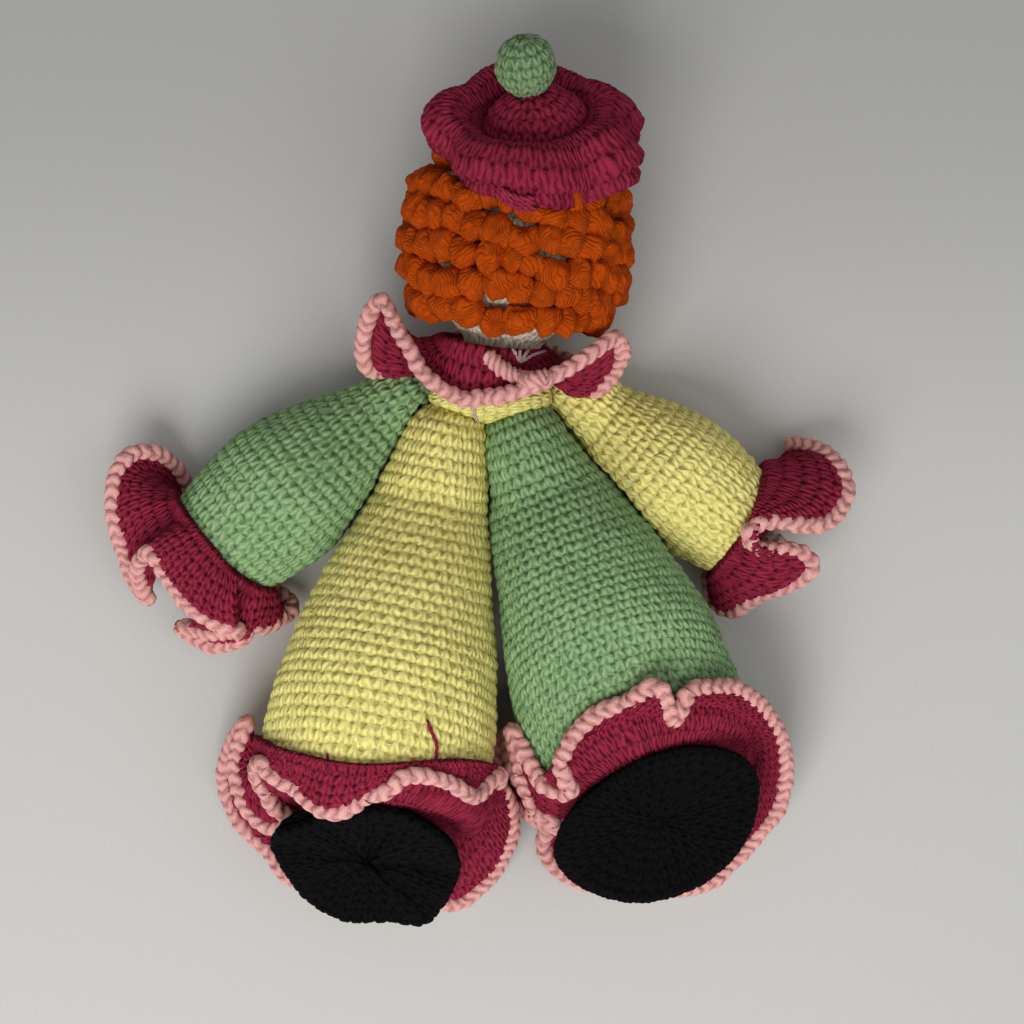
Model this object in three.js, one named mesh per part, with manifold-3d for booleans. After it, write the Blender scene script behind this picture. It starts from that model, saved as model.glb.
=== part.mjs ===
// Crochet clown doll, lying on its front as it rests on a table. Millimetres, +Z up, head towards +Y.
// The origin lies on the table under the middle of the yoke, where head and limbs are sewn together.

import * as THREE from 'three';
import { mergeVertices } from 'three/addons/utils/BufferGeometryUtils.js';
import Module from 'manifold-3d';

const wasm = await Module();
wasm.setup();

// Shared clearances
const SEAT_GAP = 0.3;
const RUN_GAP = 1.0;
const FLAT_DEPTH = 0.5;

// Crochet cloth and trim. The edging's cord stands off from the cloth's free edge, which is hollowed for it
const CLOTH_THICKNESS = 3.2;
const EDGING_RADIUS = 2.1;
const EDGING_HEIGHT_SHARE = 1.15;
const EDGING_STANDOFF = SEAT_GAP + 0.4;
const EDGING_ROOM = SEAT_GAP + 0.15;
const EDGE_FLOOR = EDGING_RADIUS + 0.9;
const FLOOR_SOFTNESS = 2;

// Yoke: the stuffed pad that holds the doll together
const YOKE_HALF_WIDTH = 24;
const YOKE_HALF_LENGTH = 10;
const YOKE_HALF_HEIGHT = 20.5;

// Head, neck and nose
const HEAD_RADIUS = 34.5;
const HEAD_HALF_LENGTH = 36;
const HEAD_ROUNDNESS = 2.6;
const HEAD_AXIS = new THREE.Vector3(0.136, 0.975, 0.175).normalize();
const NECK_RADIUS = 14.5;
const NECK_LENGTH = 14;
// The end of the neck is pressed clear of the yoke at these points of its turn, degrees
const NECK_PRESS_TURNS = [-40, -20, 0, 20, 40];
const NOSE_RADIUS = 5.6;
const NOSE_STATION = 3;

// Hair: ropes of plump lobes wound round the back of the head
const HAIR_ROPES = 6;
const HAIR_PITCH = 9.1;
const HAIR_LOWEST_STATION = -24.6;
const HAIR_ROPE_RADIUS = 4.3;
const HAIR_LOBE_SWELL = 0.3;
const HAIR_LOBES = 15;
// How far a rope's middle stands off the head, as a share of its radius
const HAIR_SEAT_SHARE = 0.83;
// Slope of the lowest and the highest rope, down to the doll's right
const HAIR_SLANT = [0.05, 0.15];
const HAIR_ARC_START = THREE.MathUtils.degToRad(-18);
const HAIR_ARC_END = THREE.MathUtils.degToRad(198);

// Hat
const CROWN_RADIUS = 21;
const CROWN_HEIGHT = 27;
const BRIM_SEAM_RADIUS = 23.2;
const BRIM_SEAM_HEIGHT = 12;
const BRIM_LAYER_GAP = 1.3;
const POMPOM_RADIUS = 11;
const HAT_AXIS = new THREE.Vector3(-0.17, 0.77, 0.61).normalize();
const HAT_CENTRE = new THREE.Vector3(19.5, 86, 54.8);

// Collar
const COLLAR_SEAM_RADIUS = 19.5;
const COLLAR_CENTRE = new THREE.Vector3(1.9, 20, 34.2);

// Legs
const LEG_LENGTH = 133;
const LEG_HINGE_Y = -20.9;
const LEG_HINGE_HEIGHT = 12;
const LEG_HEM_RADIUS = 43;
const LEG_TIP_RADIUS = 12.6;
const LEG_SQUASH = 0.94;

// Rounded corner and closing rounds at the wide end of a limb: share of the hem radius, bulge
const HEM_BULGE = 6.2;
const HEM_ROUNDING = [[0.93, 3.2], [0.72, 5.2], [0.35, HEM_BULGE]];

// Where the ruffles are sewn on: how far within the hem's edge, and how far beyond the hem
const ANKLE_SEAM_INSET = 9;
const ANKLE_SEAM_HEIGHT = 8;
const CUFF_SEAM_INSET = 4;
const CUFF_SEAM_HEIGHT = HEM_BULGE;
const RUFFLE_DROP = 2;

// Arms
const ARM_HINGE_X = 33.5;
const ARM_HINGE_Y = 1.5;
const ARM_LENGTH = 91;
const ARM_END_RADIUS = 24;
const ARM_TIP_RADIUS = 9.2;
const ARM_SQUASH = 0.95;
// Each arm is pressed clear of the leg beside it at these points of the leg's swing, degrees to the back
const ARM_PRESS_SWINGS = [-85, -64, -43, -30, -20, -13, -8, -4, 0, 8, 16, 24, 32];
// Direction in which each arm is pressed flat beside the leg, degrees from the doll's right to its head
const ARM_PRESS_DIRECTION = { left: 149, right: 40 };
const HAND_RADIUS = 8.5;
const HAND_REACH = 23;

// Shoes
const ANKLE_RADIUS = 18;
const ANKLE_HEIGHT = HEM_BULGE + 0.3;
const SOLE_HALF_LENGTH = 38;
const SOLE_HALF_WIDTH = 35;
const SOLE_THICKNESS = 4;

// Strip of ruffle down the front of the right leg
const STRIP_START = 24;
const STRIP_LENGTH = 52;
const STRIP_WIDTH = 11;
const STRIP_THICKNESS = 3;
const STRIP_INSET = 6;
const STRIP_LIFT = 0.4;

const UP = new THREE.Vector3(0, 0, 1);
const TABLE_SIZE = 1000;
const TABLE_DEPTH = 200;
const YARN_ROUGHNESS = 0.95;

const COLOURS = {
  orange: 0xd9660f,
  crimson: 0x96284f,
  pink: 0xe79aa0,
  green: 0x8ec287,
  yellow: 0xeee58c,
  mint: 0x93cfa0,
  offWhite: 0xe9e0d4,
  black: 0x111116,
};

// Cross directions of a round seam: side lies level, lift points up and back, normal leaves the seam.
function seamFrame(centre, normal) {
  const n = normal.clone().normalize();
  const side = new THREE.Vector3(-n.y, n.x, 0).normalize();
  const lift = new THREE.Vector3().crossVectors(n, side);
  return { centre: centre.clone(), side, lift, normal: n };
}

// A point given by its angle round the seam, its distance from the axis and its place along the normal.
function aroundSeam(frame, angle, radius, forward) {
  return frame.centre.clone()
    .addScaledVector(frame.side, radius * Math.cos(angle))
    .addScaledVector(frame.lift, radius * Math.sin(angle))
    .addScaledVector(frame.normal, forward);
}

// Signed volume of an indexed triangle mesh, positive where its faces point out.
function signedVolume(positions, index) {
  const a = new THREE.Vector3();
  const b = new THREE.Vector3();
  const c = new THREE.Vector3();
  let total = 0;
  for (let i = 0; i < index.length; i += 3) {
    a.fromArray(positions, 3 * index[i]);
    b.fromArray(positions, 3 * index[i + 1]);
    c.fromArray(positions, 3 * index[i + 2]);
    total += a.dot(b.cross(c)) / 6;
  }
  return total;
}

// Skin over a row of rings with equal counts of points. A looped row joins its last ring to its first;
// an open row is closed at both ends by a fan.
function skin(rings, looped = false) {
  const count = rings[0].length;
  const positions = [];
  const index = [];
  for (const ring of rings) {
    for (const point of ring) {
      positions.push(point.x, point.y, point.z);
    }
  }
  const spans = looped ? rings.length : rings.length - 1;
  for (let r = 0; r < spans; r += 1) {
    const here = r * count;
    const next = ((r + 1) % rings.length) * count;
    for (let k = 0; k < count; k += 1) {
      const k2 = (k + 1) % count;
      index.push(here + k, here + k2, next + k2);
      index.push(here + k, next + k2, next + k);
    }
  }
  if (!looped) {
    const fan = (start, reverse) => {
      const middle = new THREE.Vector3();
      for (let k = 0; k < count; k += 1) {
        middle.add(new THREE.Vector3().fromArray(positions, 3 * (start + k)));
      }
      middle.divideScalar(count);
      const hub = positions.length / 3;
      positions.push(middle.x, middle.y, middle.z);
      for (let k = 0; k < count; k += 1) {
        const k2 = (k + 1) % count;
        if (reverse) {
          index.push(hub, start + k2, start + k);
        } else {
          index.push(hub, start + k, start + k2);
        }
      }
    };
    fan(0, true);
    fan((rings.length - 1) * count, false);
  }
  if (signedVolume(positions, index) < 0) {
    for (let i = 0; i < index.length; i += 3) {
      [index[i + 1], index[i + 2]] = [index[i + 2], index[i + 1]];
    }
  }
  const geometry = new THREE.BufferGeometry();
  geometry.setAttribute('position', new THREE.Float32BufferAttribute(positions, 3));
  geometry.setIndex(index);
  return geometry;
}

// An elliptical ring of points in a seam frame.
function ring(frame, halfWidth, halfHeight, count, forward = 0) {
  const points = [];
  for (let k = 0; k < count; k += 1) {
    const angle = (2 * Math.PI * k) / count;
    points.push(frame.centre.clone()
      .addScaledVector(frame.side, halfWidth * Math.cos(angle))
      .addScaledVector(frame.lift, halfHeight * Math.sin(angle))
      .addScaledVector(frame.normal, forward));
  }
  return points;
}

function toSolid(geometry) {
  const bare = geometry.clone();
  bare.deleteAttribute('normal');
  bare.deleteAttribute('uv');
  const merged = mergeVertices(bare, 1e-5);
  return new wasm.Manifold(new wasm.Mesh({
    numProp: 3,
    vertProperties: new Float32Array(merged.attributes.position.array),
    triVerts: new Uint32Array(merged.index.array),
  }));
}

function toGeometry(solid) {
  const mesh = solid.getMesh();
  const geometry = new THREE.BufferGeometry();
  geometry.setAttribute('position', new THREE.Float32BufferAttribute(mesh.vertProperties, 3));
  geometry.setIndex(Array.from(mesh.triVerts));
  return geometry;
}

function cutBy(geometry, ...cutters) {
  let solid = toSolid(geometry);
  for (const cutter of cutters) {
    solid = solid.subtract(toSolid(cutter));
  }
  return toGeometry(solid);
}

// The room within reach of a body in a level direction, as a block whose face touches the body's far side.
function roomBehind(body, degrees) {
  const angle = THREE.MathUtils.degToRad(degrees);
  const direction = new THREE.Vector3(Math.cos(angle), Math.sin(angle), 0);
  const place = body.attributes.position;
  const point = new THREE.Vector3();
  let reach = -Infinity;
  for (let i = 0; i < place.count; i += 1) {
    reach = Math.max(reach, point.fromBufferAttribute(place, i).dot(direction));
  }
  const block = new THREE.BoxGeometry(TABLE_DEPTH, TABLE_SIZE, TABLE_SIZE);
  block.translate(reach - TABLE_DEPTH / 2, 0, 0);
  block.rotateZ(angle);
  return block;
}

// The main body of a solid from which a cut has split off crumbs.
function largestBody(geometry) {
  const bodies = toSolid(geometry).decompose();
  return toGeometry(bodies.reduce((best, body) => (body.volume() > best.volume() ? body : best)));
}

// What lies under the table top is cut off, which leaves a true flat to rest on.
function restOnTable(geometry) {
  const below = new THREE.BoxGeometry(TABLE_SIZE, TABLE_SIZE, TABLE_DEPTH);
  below.translate(0, 0, -TABLE_DEPTH / 2);
  return cutBy(geometry, below);
}

// Smooth curve through [station, radius] pairs, read by station.
function profileCurve(pairs) {
  return (station) => {
    const last = pairs.length - 1;
    if (station <= pairs[0][0]) {
      return pairs[0][1];
    }
    if (station >= pairs[last][0]) {
      return pairs[last][1];
    }
    let i = 0;
    while (pairs[i + 1][0] < station) {
      i += 1;
    }
    const [s0, r0] = pairs[i];
    const [s1, r1] = pairs[i + 1];
    const before = pairs[Math.max(i - 1, 0)];
    const after = pairs[Math.min(i + 2, last)];
    const slope0 = (r1 - before[1]) / (s1 - before[0]);
    const slope1 = (after[1] - r0) / (after[0] - s0);
    const width = s1 - s0;
    const u = (station - s0) / width;
    const h00 = 2 * u ** 3 - 3 * u ** 2 + 1;
    const h10 = u ** 3 - 2 * u ** 2 + u;
    const h01 = -2 * u ** 3 + 3 * u ** 2;
    const h11 = u ** 3 - u ** 2;
    return h00 * r0 + h10 * width * slope0 + h01 * r1 + h11 * width * slope1;
  };
}

// A stuffed limb lying on the table: a swelling cone from its sewn tip to its hem. Its rounds of crochet
// stand upright at the tip and slump back towards the hem, so the hem faces partly up.
function stuffedLimb(limb, grow = 0) {
  const radiusAt = profileCurve(limb.profile);
  const side = new THREE.Vector3(-limb.direction.y, limb.direction.x, 0);
  const leanAt = (station) => {
    const u = THREE.MathUtils.clamp(station / limb.length, 0, 1);
    return limb.slump * u * u * (3 - 2 * u);
  };
  const frameAt = (station) => {
    const lean = leanAt(station);
    const radius = Math.max(radiusAt(station), limb.tipRadius);
    const height = Math.max(radius * limb.squash * Math.cos(lean), limb.hingeHeight) - FLAT_DEPTH;
    const share = THREE.MathUtils.clamp(station / limb.length, 0, 1);
    const centre = new THREE.Vector3(limb.hinge.x, limb.hinge.y, height)
      .addScaledVector(limb.direction, station)
      .addScaledVector(side, limb.bow * Math.sin(Math.PI * share));
    const normal = limb.direction.clone().multiplyScalar(Math.cos(lean)).addScaledVector(UP, Math.sin(lean));
    return seamFrame(centre, normal);
  };
  const rings = [];
  for (const angle of [75, 45, 20]) {
    const a = THREE.MathUtils.degToRad(angle);
    const tip = limb.hingeHeight + grow;
    rings.push(ring(frameAt(0), (limb.tipWidth + grow) * Math.cos(a) ** limb.tipFullness, tip * Math.cos(a),
      limb.sides, -tip * Math.sin(a)));
  }
  for (const station of limb.stations) {
    const flare = (limb.tipWidth - limb.tipRadius) * Math.max(0, 1 - station / limb.tipBlend);
    const radius = radiusAt(station);
    rings.push(ring(frameAt(station), radius + flare + grow, radius * limb.squash + grow, limb.sides));
  }
  const hem = frameAt(limb.length);
  for (const [share, bulge] of HEM_ROUNDING) {
    const radius = limb.hemRadius * share;
    rings.push(ring(hem, radius + grow, radius * limb.squash + grow, limb.sides, bulge + grow));
  }
  return { body: skin(rings), hem, frameAt, radiusAt };
}

// A crocheted flounce: a thick sheet sewn round a seam, whose free edge is longer than the seam and so
// stands in folds. Each row of folds is [turn in degrees, reach beyond the seam, drop along the normal],
// evenly spaced round the seam. Its edging is a round cord of stitches that follows the free edge.
function flounce(frame, seamRadius, seamForward, folds, options = {}) {
  const steps = options.steps ?? 42;
  const bulge = options.bulge ?? 3;
  const layer = options.layer ?? 0;
  const half = CLOTH_THICKNESS / 2 + (options.grow ?? 0);
  const onTable = (point) => {
    const above = (point.z - EDGE_FLOOR) / FLOOR_SOFTNESS;
    const lifted = above > 20 ? above : Math.log1p(Math.exp(above));
    point.z = EDGE_FLOOR + FLOOR_SOFTNESS * lifted;
    return point;
  };
  const edgePoints = folds.map(([turn, reach, drop], i) => {
    const angle = (2 * Math.PI * i) / folds.length + THREE.MathUtils.degToRad(turn);
    return aroundSeam(frame, angle, seamRadius + reach, drop);
  });
  const edge = new THREE.CatmullRomCurve3(edgePoints, true, 'catmullrom', 0.5);
  const middleSheet = (turn, across) => {
    const wrapped = ((turn % 1) + 1) % 1;
    const start = aroundSeam(frame, 2 * Math.PI * turn, seamRadius, seamForward);
    const end = edge.getPoint(wrapped);
    const point = start.lerp(end, across);
    point.addScaledVector(frame.normal, bulge * Math.sin(Math.PI * Math.min(across, 1)));
    return onTable(point);
  };
  const normalAt = (turn, across) => {
    const small = 0.004;
    const along = middleSheet(turn + small, across).sub(middleSheet(turn - small, across));
    const outward = middleSheet(turn, Math.min(across + 0.05, 1)).sub(middleSheet(turn, across - 0.05));
    return along.cross(outward).normalize();
  };
  const rings = [];
  const cordRings = [];
  const roomRings = [];
  const acrossSteps = options.across ?? [0.02, 0.5, 0.98];
  const cordSides = 4;
  for (let k = 0; k < steps; k += 1) {
    const turn = k / steps;
    const front = [];
    const back = [];
    for (const across of acrossSteps) {
      const point = middleSheet(turn, across);
      const normal = normalAt(turn, Math.max(across, 0.06));
      front.push(point.clone().addScaledVector(normal, layer + half));
      back.unshift(point.clone().addScaledVector(normal, layer - half));
    }
    rings.push([...front, ...back]);
    const rim = middleSheet(turn, 1);
    const outward = rim.clone().sub(middleSheet(turn, 0.9)).normalize();
    const normal = normalAt(turn, 1);
    const centre = rim.addScaledVector(outward, EDGING_RADIUS + EDGING_STANDOFF);
    const section = (radius) => Array.from({ length: cordSides }, (_, j) => {
      const angle = (2 * Math.PI * (j + 0.5)) / cordSides;
      return centre.clone()
        .addScaledVector(outward, radius * Math.cos(angle))
        .addScaledVector(normal, radius * EDGING_HEIGHT_SHARE * Math.sin(angle));
    });
    cordRings.push(section(EDGING_RADIUS));
    roomRings.push(section(EDGING_RADIUS + EDGING_ROOM));
  }
  const sheet = largestBody(cutBy(skin(rings, true), skin(roomRings, true)));
  return { sheet, edging: skin(cordRings, true) };
}

// A ball stretched along its frame's normal by the share given. Its first and last rounds close it.
const BALL_LATITUDES = [-66, -40, -14, 14, 40, 66];
const BALL_END = Math.sin(THREE.MathUtils.degToRad(BALL_LATITUDES.at(-1)));
function ball(frame, radius, sides, share = 1) {
  const rings = [];
  for (const latitude of BALL_LATITUDES) {
    const a = THREE.MathUtils.degToRad(latitude);
    rings.push(ring(frame, radius * Math.cos(a), radius * Math.cos(a), sides, radius * share * Math.sin(a)));
  }
  return skin(rings);
}

const doll = new THREE.Group();

function addPiece(name, geometry, colour) {
  const material = new THREE.MeshStandardMaterial({ color: colour, roughness: YARN_ROUGHNESS, metalness: 0 });
  const piece = new THREE.Mesh(geometry, material);
  piece.name = name;
  doll.add(piece);
}

// Yoke
const yokeCentre = new THREE.Vector3(0, 0, YOKE_HALF_HEIGHT - FLAT_DEPTH);
const yokeFrame = seamFrame(yokeCentre, new THREE.Vector3(1, 0, 0));
const yokeRings = [];
for (const latitude of [-82, -62, -42, -21, 0, 21, 42, 62, 82]) {
  const a = THREE.MathUtils.degToRad(latitude);
  yokeRings.push(ring(yokeFrame, YOKE_HALF_LENGTH * Math.cos(a), YOKE_HALF_HEIGHT * Math.cos(a), 16,
    YOKE_HALF_WIDTH * Math.sin(a)));
}
addPiece('yoke', restOnTable(skin(yokeRings)), COLOURS.yellow);

// Head: a barrel-shaped stuffed ball that runs into a short neck
const headCentre = new THREE.Vector3(9.9, 57, HEAD_RADIUS + NOSE_RADIUS);
const headFrame = seamFrame(headCentre, HEAD_AXIS);
function headRadiusAt(station) {
  const share = Math.min(Math.abs(station) / HEAD_HALF_LENGTH, 1);
  return HEAD_RADIUS * (1 - share ** HEAD_ROUNDNESS) ** (1 / HEAD_ROUNDNESS);
}
const headRings = [];
for (const station of [35.3, 32, 26, 17, 6, -6, -17, -26, -31.5]) {
  headRings.push(ring(headFrame, headRadiusAt(station), headRadiusAt(station), 18, station));
}
const neckEnd = -HEAD_HALF_LENGTH - NECK_LENGTH;
headRings.push(ring(headFrame, NECK_RADIUS + 1, NECK_RADIUS + 1, 18, -HEAD_HALF_LENGTH));
headRings.push(ring(headFrame, NECK_RADIUS, NECK_RADIUS, 18, neckEnd + 3));
headRings.push(ring(headFrame, NECK_RADIUS * 0.7, NECK_RADIUS * 0.7, 18, neckEnd));
const yokeTurned = NECK_PRESS_TURNS.map((turn) => {
  const around = new THREE.Quaternion().setFromAxisAngle(HEAD_AXIS, THREE.MathUtils.degToRad(turn));
  return skin(yokeRings.map((points) => points.map((point) => {
    const away = point.clone().sub(yokeCentre).normalize();
    const grown = point.clone().addScaledVector(away, RUN_GAP);
    return grown.sub(headCentre).applyQuaternion(around).add(headCentre);
  })));
});
addPiece('head', cutBy(skin(headRings), ...yokeTurned), COLOURS.offWhite);

// Nose, on the face that lies on the table
const noseCentre = aroundSeam(headFrame, -Math.PI / 2, headRadiusAt(NOSE_STATION) + SEAT_GAP, NOSE_STATION)
  .setZ(NOSE_RADIUS - FLAT_DEPTH);
const noseFrame = seamFrame(noseCentre, HEAD_AXIS);
const headWithGap = skin(headRings.map((points) => points.map((point) => {
  const along = point.clone().sub(headCentre).dot(HEAD_AXIS);
  const away = point.clone().sub(headCentre).addScaledVector(HEAD_AXIS, -along).normalize();
  return point.clone().addScaledVector(away, SEAT_GAP);
})));
addPiece('nose', restOnTable(cutBy(ball(noseFrame, NOSE_RADIUS, 10), headWithGap)), COLOURS.crimson);

// Hair ropes
function hairRope(i, grow = 0) {
  const middleStation = HAIR_LOWEST_STATION + i * HAIR_PITCH;
  const slant = THREE.MathUtils.lerp(...HAIR_SLANT, i / (HAIR_ROPES - 1));
  const rings = [];
  const steps = HAIR_LOBES * 2;
  const centreAt = (angle) => {
    const station = middleStation + slant * HEAD_RADIUS * Math.cos(angle);
    const small = 0.5;
    const slope = (headRadiusAt(station + small) - headRadiusAt(station - small)) / (2 * small);
    const length = Math.hypot(1, slope);
    const off = (HAIR_ROPE_RADIUS * HAIR_SEAT_SHARE + SEAT_GAP) / length;
    return aroundSeam(headFrame, angle, headRadiusAt(station) + off, station - slope * off);
  };
  for (let k = 0; k <= steps; k += 1) {
    const share = k / steps;
    const angle = HAIR_ARC_START + (HAIR_ARC_END - HAIR_ARC_START) * share;
    const centre = centreAt(angle);
    const along = centreAt(angle + 0.01).sub(centreAt(angle - 0.01)).normalize();
    const outward = centre.clone().sub(headCentre);
    outward.addScaledVector(along, -outward.dot(along)).normalize();
    const across = new THREE.Vector3().crossVectors(along, outward);
    const lobe = k % 2 === 0 ? 1 - HAIR_LOBE_SWELL / 2 : 1;
    const taper = k === 0 || k === steps ? 0.5 : 1;
    const radius = HAIR_ROPE_RADIUS * lobe * taper + grow;
    const points = [];
    for (let j = 0; j < 5; j += 1) {
      const a = (2 * Math.PI * j) / 5;
      points.push(centre.clone()
        .addScaledVector(outward, radius * Math.cos(a))
        .addScaledVector(across, radius * Math.sin(a)));
    }
    rings.push(points);
  }
  return skin(rings);
}
for (let i = 0; i < HAIR_ROPES; i += 1) {
  addPiece(`hair_rope_${i + 1}`, hairRope(i), COLOURS.orange);
}

// Hat: domed crown, two layers of ruffled brim and a pompom
const hatFrame = seamFrame(HAT_CENTRE, HAT_AXIS);
const CROWN_TOP = 0.965;
const crownShape = [[0.8, -0.22], [1, -0.11], [1, 0.33], [0.9, 0.6], [0.68, 0.82], [0.34, CROWN_TOP]];
function crown(grow = 0) {
  return skin(crownShape.map(([share, height]) => {
    const radius = CROWN_RADIUS * share + grow;
    return ring(hatFrame, radius, radius, 16, CROWN_HEIGHT * height);
  }));
}
addPiece('hat_crown', cutBy(crown(), headWithGap), COLOURS.crimson);
const pompomFrame = seamFrame(HAT_CENTRE.clone().addScaledVector(HAT_AXIS,
  CROWN_TOP * CROWN_HEIGHT + POMPOM_RADIUS * BALL_END + SEAT_GAP),
  HAT_AXIS);
addPiece('hat_pompom', ball(pompomFrame, POMPOM_RADIUS, 12), COLOURS.mint);
// Petals of the brim, listed from the doll's left over the back
const brimFolds = [
  [0, 19, 15], [0, 14, 18], [0, 17, 7], [0, 19, 7], [0, 18, 4], [0, 18, -1], [0, 14, 6],
  [0, 20, -4], [0, 19, -6], [0, 12, 0], [0, 15, -4], [0, 11, 2], [0, 7, 2], [0, 6, 8],
  [0, 5, 14], [0, 6, 16], [0, 7, 19], [0, 6, 19], [0, 6, 18], [0, 15, 20],
];
const brimStep = (CLOTH_THICKNESS + BRIM_LAYER_GAP) / 2;
const brimOptions = { steps: 60, bulge: 9, layer: -brimStep, across: [0.02, 0.45, 0.86] };
const brimUpper = flounce(hatFrame, BRIM_SEAM_RADIUS, BRIM_SEAM_HEIGHT, brimFolds, brimOptions);
const brimRoom = flounce(hatFrame, BRIM_SEAM_RADIUS, BRIM_SEAM_HEIGHT, brimFolds,
  { ...brimOptions, grow: SEAT_GAP });
const brimLower = flounce(hatFrame, BRIM_SEAM_RADIUS, BRIM_SEAM_HEIGHT, brimFolds,
  { steps: 60, bulge: 9, layer: brimStep });
const hairRoom = [HAIR_ROPES - 2, HAIR_ROPES - 1].map((i) => hairRope(i, SEAT_GAP));
addPiece('hat_brim_upper', largestBody(cutBy(brimUpper.sheet, crown(SEAT_GAP))), COLOURS.crimson);
const lowerLayer = largestBody(cutBy(brimLower.sheet, brimRoom.sheet, ...hairRoom));
addPiece('hat_brim_lower', lowerLayer, COLOURS.crimson);

// Collar, sewn to the yoke round the neck; listed from the doll's right side over its back
const collarFolds = [
  [8, 27, 2], [0, 27, -7], [0, 17, 6], [0, 8, 16],
  [0, 2, 20], [0, 2, 21], [0, 8, 17], [-4, 17, 3],
  [-15, 25, -9], [-26, 28, 6], [-37, 23, 18], [-12, 10, 5],
  [0, 6, 1], [12, 9, 4], [24, 16, 8], [18, 20, 14],
];
const collarFrame = seamFrame(COLLAR_CENTRE, HEAD_AXIS.clone().negate());
const collar = flounce(collarFrame, COLLAR_SEAM_RADIUS, 0, collarFolds, { steps: 48, bulge: 7 });
addPiece('collar_ruffle', collar.sheet, COLOURS.crimson);
addPiece('collar_edging', collar.edging, COLOURS.pink);

// Legs with ankle ruffles and shoes. Folds are listed from the doll's right side, over the top.
const legStations = [0, 8, 16, 28, 42, 58, 76, 96, 116, 129];
const legs = [
  {
    side: 'left',
    colour: COLOURS.yellow,
    hinge: new THREE.Vector2(-18.3, LEG_HINGE_Y),
    direction: new THREE.Vector3(-0.2, -0.98, 0),
    tipWidth: 13.4,
    slump: THREE.MathUtils.degToRad(22),
    bow: 0,
    soleReach: 27,
    soleShift: 0,
    soleLean: THREE.MathUtils.degToRad(50),
    soleSize: 0.94,
    folds: [
      [0, 5, -5], [0, 6, -3], [0, 6, 6], [0, 2, 5],
      [0, 4, 8], [0, -1, 16], [0, -2, 19], [0, 2, 10],
      [-13, 17, -8], [-6, 3, 12], [-30, 17, 0], [-24, 9, 10],
      [-12, -3, 20], [0, 2, 13], [0, 11, 15], [0, 8, 1],
    ],
  },
  {
    side: 'right',
    colour: COLOURS.green,
    hinge: new THREE.Vector2(15.1, LEG_HINGE_Y),
    direction: new THREE.Vector3(0.368, -0.93, 0),
    tipWidth: 16.6,
    slump: THREE.MathUtils.degToRad(40),
    bow: 5,
    soleReach: 23,
    soleShift: -5,
    soleLean: THREE.MathUtils.degToRad(60),
    soleSize: 1,
    folds: [
      [0, 7, 6], [0, 8, 0], [0, 7, -2], [0, 6, 0],
      [0, 2, 7], [0, 6, -3], [0, 2, 2], [-6, 14, -12],
      [0, 4, 13], [-18, 7, 0], [-15, 4, 10], [-20, 8, 10],
      [0, -2, 22], [4, 4, 17], [-10, 8, 20], [-5, 12, 9],
    ],
  },
];
function legShape(leg, grow = 0) {
  return stuffedLimb({
    ...leg,
    length: LEG_LENGTH,
    stations: legStations,
    profile: [[0, LEG_TIP_RADIUS], [16, 21.3], [35, 28.6], [54, 34], [77, 39.3], [97, 42.4], [115, 43.4],
      [129, LEG_HEM_RADIUS]],
    tipRadius: LEG_TIP_RADIUS,
    tipBlend: 40,
    tipFullness: 0.4,
    hingeHeight: LEG_HINGE_HEIGHT,
    hemRadius: LEG_HEM_RADIUS,
    squash: LEG_SQUASH,
    sides: 20,
  }, grow);
}

// Arms with cuffs and hands. Folds are listed from the side nearer the feet, over the top.
const ARM_SPAN = 85;
const armStations = [0, 6, 14, 24, 36, 50, 64, 78];
const arms = [
  {
    side: 'left',
    colour: COLOURS.green,
    hinge: new THREE.Vector2(-ARM_HINGE_X, ARM_HINGE_Y),
    direction: new THREE.Vector3(-0.769, -0.639, 0),
    length: ARM_LENGTH,
    girth: 1,
    folds: [
      [0, 13, 10], [0, 8, 18], [5, 4, 23], [0, 2, 20], [-5, 6, 24], [0, 14, 20],
      [-5, 20, 8], [-20, 18, 15], [-10, 8, 22], [0, -5, 22], [0, -3, 17], [5, 10, -4],
    ],
  },
  {
    side: 'right',
    colour: COLOURS.yellow,
    hinge: new THREE.Vector2(ARM_HINGE_X, ARM_HINGE_Y),
    direction: new THREE.Vector3(0.769, -0.639, 0),
    length: 80,
    girth: 0.9,
    folds: [
      [0, 13, 13], [0, 8, 22], [15, 2, 27], [-15, 10, 13], [10, 3, 26], [0, 6, 22],
      [0, 6.5, 16], [0, 4, 11], [0, -2, 17], [0, -4, 23], [0, -2, 17], [10, 9, 4],
    ],
  },
];
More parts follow.
